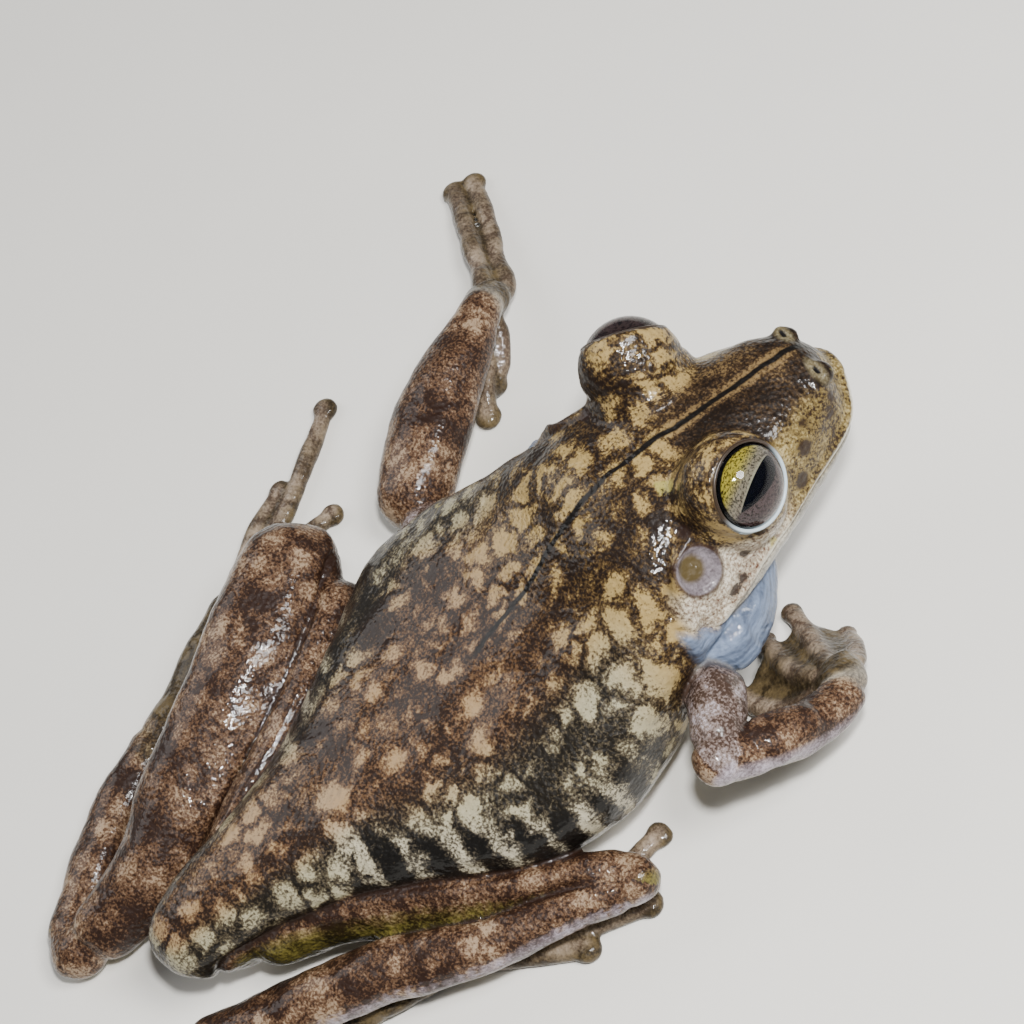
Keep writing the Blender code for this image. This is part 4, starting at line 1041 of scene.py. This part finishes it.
def skin_tones(tree, light, share):
    """Ground colour from net over edge to cell, by region, and how far it has left the net."""
    tones = [linear(colour) for colour in NECK_COLOURS]
    for name, *colours in REGION_COLOURS:
        tones = [add(tree, "ShaderNodeMix", {0: share[name], 6: tone, 7: linear(colour)}, 2, data_type="RGBA")
                 for tone, colour in zip(tones, colours)]
    low = add(tree, "ShaderNodeMapRange", {"Value": light, "From Min": 0.05, "From Max": 0.5}, "Result",
              interpolation_type="SMOOTHSTEP")
    high = add(tree, "ShaderNodeMapRange", {"Value": light, "From Min": 0.42, "From Max": 1.0}, "Result",
               interpolation_type="SMOOTHSTEP")
    colour = tones[0]
    for step, tone in ((low, tones[1]), (high, tones[2])):
        colour = add(tree, "ShaderNodeMix", {0: step, 6: colour, 7: tone}, 2, data_type="RGBA")
    return colour, low


def skin_marks(tree, colour, low, read, edge):
    """Everything painted over the ground colour, from the back's marks to the lids."""
    covers = {name: add(tree, "ShaderNodeMath", {0: first, 1: second}, operation="MULTIPLY")
              for name, first, second in (
                  ("fleck", edge["fleck"], low), ("crease", read["crease"], 0.7),
                  ("line", edge["line"], read["midline"]), ("outer", edge["outer_edge"], read["limb"]),
                  ("under", edge["under_edge"], read["thigh"]))}
    paint = {}
    for name, (measure, first, second) in PAINTS.items():
        share = edge[measure] if measure in edge else read[measure]
        paint[name] = add(tree, "ShaderNodeMix", {0: share, 6: linear(first), 7: linear(second)}, 2,
                          data_type="RGBA")
    fingers = add(tree, "ShaderNodeMix", {0: read["ridge"], 6: paint["web"], 7: paint["digit"]}, 2,
                  data_type="RGBA")
    ear = add(tree, "ShaderNodeMix", {0: edge["ear_olive"], 6: paint["ear_ring"], 7: linear("#42371f")}, 2,
              data_type="RGBA")
    for cover, over in (
            (covers["fleck"], linear("#8d8443")),
            (edge["spots"], linear("#1c0e08")),
            (covers["crease"], linear("#1a0e07")),
            (covers["line"], linear("#080503")),
            (edge["nostril_rim"], paint["nostril_rim"]),
            # painted shade: the nostril's opening is near black
            (edge["nostril_pit_shade"], linear("#0c0a0a")),
            (covers["outer"], paint["lavender"]),
            (covers["under"], paint["olive"]),
            (read["hand"], fingers),
            # the sac's own blue, with painted shade in the wrinkles' hollows and painted light on their
            # crests
            (read["sac"], paint["sac"]),
            (read["jaw"], paint["jaw"]),
            (read["lip"], linear("#c9c4b2")),
            (edge["ear_outline"], linear("#2a1b14")),
            (edge["ear"], ear),
            (read["rim"], paint["lid_rim"]),
            # painted shade: the socket's skin behind the lids is near black
            (read["socket"], linear("#050404"))):
        colour = add(tree, "ShaderNodeMix", {0: cover, 6: colour, 7: over}, 2, data_type="RGBA")
    return colour


def skin_relief(tree, place, read, noise):
    """Height of the granules and of the vocal sac's wrinkles."""
    grain = add(tree, "ShaderNodeTexVoronoi", {"Vector": place, "Scale": GRAINS}, "Distance",
                feature="SMOOTH_F1")
    relief = add(tree, "ShaderNodeMath", {0: noise["dots"], 1: 0.4, 2: grain}, operation="MULTIPLY_ADD")
    relief = add(tree, "ShaderNodeMath", {0: relief, 1: -1.0}, operation="MULTIPLY")
    soft = add(tree, "ShaderNodeMath", {0: read["wrinkles"], 1: 0.6}, operation="MULTIPLY")
    return add(tree, "ShaderNodeMath", {0: soft, 1: read["sac"], 2: relief}, operation="MULTIPLY_ADD")


def moist_skin(names):
    """Living frog skin, thin and always wet: fine dark dots over tan cells in a brown net, under a
    film of water that follows the skin's granules more softly.

    The names are those of the shares that the mesh keeps.
    """
    material, tree = new_material("moist_frog_skin")
    spot = add(tree, "ShaderNodeTexCoord", {}, "Object")
    place = add(tree, "ShaderNodeVectorMath", {0: spot, "Scale": 1 / MM}, operation="SCALE")
    read = {name: add(tree, "ShaderNodeAttribute", {}, "Fac", attribute_name=name) for name in names}
    noise = {name: add(tree, "ShaderNodeTexNoise", {"Vector": place, **settings})
             for name, settings in NOISES.items()}
    wander = add(tree, "ShaderNodeTexNoise", {"Vector": place, "Scale": 0.6, "Detail": 2.0}, "Color")
    moved = add(tree, "ShaderNodeVectorMath", {0: wander, 1: (WANDER,) * 3, 2: place},
                operation="MULTIPLY_ADD")
    level = add(tree, "ShaderNodeVectorMath", {0: place, 1: SAC_WRINKLES}, operation="MULTIPLY")
    read["wrinkles"] = add(tree, "ShaderNodeTexNoise", {"Vector": level, "Scale": 1.0, "Detail": 3.0,
                                                        "Roughness": 0.6})
    read["aside"] = distance_aside(tree, read, noise)
    read["fleck"] = add(tree, "ShaderNodeTexVoronoi", {"Vector": moved, "Scale": FLECKS}, "Distance")
    read["dotted"] = add(tree, "ShaderNodeMath", {0: noise["dots"], 1: 1.6, 2: read["spots"]},
                         operation="MULTIPLY_ADD")
    edge = {name: add(tree, "ShaderNodeMapRange", {"Value": read[measure], "From Min": none,
                                                   "From Max": full, "To Max": most}, "Result")
            for name, (measure, none, full, most) in EDGES.items()}
    light = skin_lightness(tree, moved, read, noise)
    stripe = add(tree, "ShaderNodeMath", {0: edge["stripe"], 1: read["stripe"]}, operation="MULTIPLY")
    light = add(tree, "ShaderNodeMath", {0: stripe, 1: STRIPE_LIGHT, 2: light}, operation="MULTIPLY_ADD")
    read["light"] = light
    colour, low = skin_tones(tree, light, read)
    colour = skin_marks(tree, colour, low, read, edge)
    relief = skin_relief(tree, place, read, noise)
    bump = add(tree, "ShaderNodeBump", {"Height": relief, "Strength": 0.45, "Distance": 0.3 * MM})
    film = add(tree, "ShaderNodeBump", {"Height": relief, "Strength": 0.22, "Distance": 0.3 * MM})
    gloss = add(tree, "ShaderNodeMapRange", {"Value": noise["clusters"], "To Min": 0.45, "To Max": 0.62},
                "Result")
    finish_material(tree, {"Base Color": colour, "Roughness": gloss, "IOR": 1.38, "Normal": bump,
                           "Specular IOR Level": 0.2, "Coat Weight": 0.6, "Coat Roughness": 0.03,
                           "Coat IOR": 1.33, "Coat Normal": film})
    return material


def iris_and_ball():
    """Eyeball: the iris gold above and purple brown below, a lying teardrop pupil, black towards
    the rim. Black flecks of 0.2 mm give the gold its grain.
    """
    material, tree = new_material("eye_iris")
    at = add(tree, "ShaderNodeAttribute", {}, "Vector", attribute_name="iris_place")
    up, out = (add(tree, "ShaderNodeSeparateXYZ", {0: at}, axis) for axis in ("Y", "Z"))
    beyond = add(tree, "ShaderNodeAttribute", {}, "Fac", attribute_name="pupil_mm")
    grain = add(tree, "ShaderNodeTexNoise", {"Vector": at, "Scale": 4.6, "Detail": 2.0, "Roughness": 0.7})
    edge = {name: add(tree, "ShaderNodeMapRange", {"Value": measure, "From Min": none, "From Max": full,
                                                   "To Max": most}, "Result")
            for name, measure, none, full, most in (
                ("pupil", beyond, 0.03, -0.03, 1.0), ("margin", beyond, 0.2, 0.04, 0.8),
                ("fleck", grain, 0.4, 0.54, 1.0), ("middle", up, -0.3, 0.3, 1.0),
                ("above", up, 0.7, 1.7, 1.0), ("rim", out, IRIS_SHOWN - 0.1, IRIS_SHOWN + 0.05, 1.0))}
    brown, beige, gold = (
        add(tree, "ShaderNodeMix", {0: edge["fleck"], 6: linear(dark), 7: linear(pale)}, 2, data_type="RGBA")
        for dark, pale in (("#170f11", "#3f3231"), ("#3a352d", "#7d7666"), ("#231e08", "#a5993a")))
    margin = add(tree, "ShaderNodeMath", {0: edge["margin"], 1: edge["middle"]}, operation="MULTIPLY")
    colour = brown
    for cover, over in ((edge["middle"], beige), (edge["above"], gold), (margin, linear("#a9a893")),
                        (edge["pupil"], linear("#03040a")), (edge["rim"], linear("#050506"))):
        colour = add(tree, "ShaderNodeMix", {0: cover, 6: colour, 7: over}, 2, data_type="RGBA")
    finish_material(tree, {"Base Color": colour, "Roughness": 0.8, "IOR": 1.376, "Specular IOR Level": 0.0})
    return material


def clear_cornea():
    """Cornea and the fluid behind it: clear, wet and perfectly smooth."""
    material, tree = new_material("clear_cornea")
    finish_material(tree, {"Base Color": (1.0, 1.0, 1.0, 1.0), "Roughness": 0.0, "IOR": 1.34,
                           "Transmission Weight": 1.0})
    return material


def spun(profile, centre, ahead, sides=96):
    """Surface made by turning a profile, given as (along, out) rows, about the gaze."""
    flat = unit(np.cross([0.0, 0.0, 1.0], ahead))
    rise = np.cross(ahead, flat)
    turn = np.linspace(0, 2 * np.pi, sides, endpoint=False)
    circle = np.cos(turn)[:, None] * flat + np.sin(turn)[:, None] * rise
    middle = centre + profile[:, :1] * ahead
    rings = middle[1:-1, None, :] + profile[1:-1, 1, None, None] * circle[None, :, :]
    return outward(*closed_rings(rings, middle[0], middle[-1]))


def pupil_gap(along_way, up_way):
    """Distance beyond the pupil's edge: a teardrop, blunt towards the snout, more round below.

    At a share s of its half length, its depth is sqrt(1 - s) (1 + s) times the bulge.
    """
    share = (along_way - PUPIL_MIDDLE[0]) / PUPIL_HALF_LENGTH
    depth = np.sqrt(np.maximum(1 - share, 0)) * np.maximum(1 + share, 0) / PUPIL_PEAK
    high = up_way - PUPIL_MIDDLE[1]
    gap = np.where(high > 0, high - PUPIL_ABOVE * depth, -high - PUPIL_BELOW * depth)
    return gap + PUPIL_BEYOND * (depth == 0)


def make_eye(side, name, material, clear):
    """Eyeball with a sunken iris, and the clear ball of cornea and fluid round it.

    Each point keeps its place on the iris: towards the snout, up, and out from its middle.
    """
    centre, ahead = mirrored(EYE_CENTRE, side), gaze(side)
    edge = np.arccos(IRIS_DEPTH / BALL_RADIUS)
    back = np.linspace(np.pi, edge, 40)
    out = np.linspace(np.sin(edge) * BALL_RADIUS, 0, 70)[1:]
    ball_rows = np.stack([np.cos(back) * BALL_RADIUS, np.sin(back) * BALL_RADIUS], -1)
    iris_rows = np.stack([IRIS_DEPTH - IRIS_DISH * (1 - (out / out[0]) ** 2), out], -1)
    points, faces = spun(np.vstack([ball_rows, iris_rows]), centre, ahead, 144)
    eye = add_mesh("iris_and_ball_" + name, points, faces)
    away = points - centre
    flat = unit(np.cross([0.0, 0.0, 1.0], ahead)) * side
    flat = flat * np.sign(-flat[1])
    rise = unit(np.cross(ahead, flat))
    rise = rise * np.sign(rise[2])
    roll = np.radians(PUPIL_ROLL)
    long_way = away @ (flat * np.cos(roll) + rise * np.sin(roll))
    up_way = away @ (rise * np.cos(roll) - flat * np.sin(roll))
    far = np.hypot(long_way - IRIS_MIDDLE[0], up_way - IRIS_MIDDLE[1])
    far = np.where(away @ ahead > IRIS_DEPTH - IRIS_DISH - 0.1, far, BALL_RADIUS)
    layer = eye.data.attributes.new("iris_place", "FLOAT_VECTOR", "POINT")
    layer.data.foreach_set("vector", np.stack([long_way, up_way, far], -1).ravel().astype(np.float32))
    set_masks(eye.data, {"pupil_mm": pupil_gap(long_way, up_way)})
    eye.data.materials.append(material)
    sweep = np.linspace(np.pi, 0, 60)
    cornea_rows = np.stack([np.cos(sweep) * CORNEA_RADIUS, np.sin(sweep) * CORNEA_RADIUS], -1)
    cornea = add_mesh("cornea_" + name, *spun(cornea_rows, centre, ahead))
    cornea.data.materials.append(clear)
    return eye, cornea


def lid_edge():
    """Moist edge of the lids: dark above, blue white below, with the soft shine of wet skin."""
    material, tree = new_material("moist_lid_edge")
    low = add(tree, "ShaderNodeAttribute", {}, "Fac", attribute_name="lower_lid")
    colour = add(tree, "ShaderNodeMix", {0: low, 6: linear("#2b2016"), 7: linear("#a9b6bc")}, 2,
                 data_type="RGBA")
    finish_material(tree, {"Base Color": colour, "Roughness": 0.35, "IOR": 1.38, "Coat Weight": 0.5,
                           "Coat Roughness": 0.06, "Coat IOR": 1.33})
    return material


def make_lid_edge(side, name, material):
    """Ring round the opening of the lids: a small circle carried once about the gaze."""
    ahead = gaze(side)
    flat = unit(np.cross([0.0, 0.0, 1.0], ahead))
    rise = np.cross(ahead, flat)
    turn = np.linspace(0, 2 * np.pi, 144, endpoint=False)
    outwards = np.cos(turn)[:, None] * flat + np.sin(turn)[:, None] * rise
    opening = np.radians(LID_OPENING)
    spoke = np.cos(opening) * ahead + np.sin(opening) * outwards
    across = np.cos(opening) * outwards - np.sin(opening) * ahead
    around = np.linspace(0, 2 * np.pi, 16, endpoint=False)[None, :, None]
    circle = np.cos(around) * spoke[:, None, :] + np.sin(around) * across[:, None, :]
    points = mirrored(EYE_CENTRE, side) + LID_RIM * spoke[:, None, :] + LID_EDGE * circle
    number = np.arange(points.shape[0] * points.shape[1]).reshape(points.shape[:2])
    beside, next_row = np.roll(number, -1, 1), np.roll(number, -1, 0)
    faces = np.stack([number, beside, np.roll(beside, -1, 0), next_row], -1).reshape(-1, 4)
    edge = add_mesh("lid_edge_" + name, *outward(points.reshape(-1, 3), faces.tolist()))
    low = ease(-outwards[:, 2], -0.2, 0.4)
    set_masks(edge.data, {"lower_lid": np.repeat(low, points.shape[1])})
    edge.data.materials.append(material)
    return edge


def paper_floor():
    """Matt studio paper: pale, with a faint mottle 25 mm wide."""
    material, tree = new_material("studio_paper")
    spot = add(tree, "ShaderNodeTexCoord", {}, "Object")
    mottle = add(tree, "ShaderNodeTexNoise", {"Vector": spot, "Scale": 40.0, "Detail": 3.0})
    colour = add(tree, "ShaderNodeMix", {0: mottle, 6: linear("#cfccc5"), 7: linear("#d6d3cc")}, 2,
                 data_type="RGBA")
    finish_material(tree, {"Base Color": colour, "Roughness": 0.85})
    return material


def add_floor():
    """Flat sheet under the frog."""
    corners = [(x * FLOOR_REACH, y * FLOOR_REACH, 0) for x, y in ((-1, -1), (1, -1), (1, 1), (-1, 1))]
    floor = add_mesh("floor", corners, [(0, 1, 2, 3)])
    floor.data.materials.append(paper_floor())


def add_lamp(name, place, size, watts):
    """Round area lamp that looks at the frog."""
    data = bpy.data.lights.new(name, "AREA")
    data.shape = "DISK"
    data.size = size * MM
    data.energy = watts
    lamp = bpy.data.objects.new(name, data)
    lamp.location = np.array(place) * MM
    bpy.context.scene.collection.objects.link(lamp)
    ahead = mathutils.Vector(np.array(LAMP_AIM) - place)
    lamp.rotation_euler = ahead.to_track_quat("-Z", "Y").to_euler()


def add_studio_light():
    """The lamps of the table, and a pale surround."""
    for name, (place, size, watts) in LAMPS.items():
        add_lamp(name, place, size, watts)
    world = bpy.data.worlds.new("surround")
    bpy.context.scene.world = world
    world.use_nodes = True
    world.node_tree.nodes["Background"].inputs["Color"].default_value = linear("#dfe3ea")
    world.node_tree.nodes["Background"].inputs["Strength"].default_value = SURROUND_STRENGTH


def add_camera():
    """Camera at the photograph's angle."""
    tilt, turn = np.radians([CAMERA_TILT, CAMERA_TURN])
    back = np.array([-np.sin(tilt), 0.0, np.cos(tilt)])
    ahead = np.array([0.0, -1.0, 0.0])
    across = np.array([-np.cos(tilt), 0.0, -np.sin(tilt)])
    right = np.cos(turn) * ahead + np.sin(turn) * across
    up = np.sin(turn) * ahead - np.cos(turn) * across
    place = np.array(CAMERA_TARGET) + back * CAMERA_DISTANCE
    data = bpy.data.cameras.new("camera")
    data.lens = LENS
    data.sensor_width = SENSOR
    data.clip_start = 0.01
    camera = bpy.data.objects.new("camera", data)
    bpy.context.scene.collection.objects.link(camera)
    matrix = np.eye(4)
    matrix[:3, 0], matrix[:3, 1], matrix[:3, 2], matrix[:3, 3] = right, up, back, place * MM
    camera.matrix_world = mathutils.Matrix(matrix.tolist())
    bpy.context.scene.camera = camera


def main():
    """Build everything and hand the pieces to the frame."""
    add_camera()
    add_studio_light()
    add_floor()
    skin = make_skin()
    masks = skin_masks(vertices_of(skin.data), normals_of(skin.data))
    set_masks(skin.data, masks)
    skin.data.materials.clear()
    skin.data.materials.append(moist_skin(list(masks)))
    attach(skin, "root")
    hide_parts(*[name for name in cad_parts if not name.startswith("eye")])
    iris, clear, moist = iris_and_ball(), clear_cornea(), lid_edge()
    for side, name in ((1, "left"), (-1, "right")):
        for piece in (*make_eye(side, name, iris, clear), make_lid_edge(side, name, moist)):
            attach(piece, "root")
            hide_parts("eye_" + name)


main()
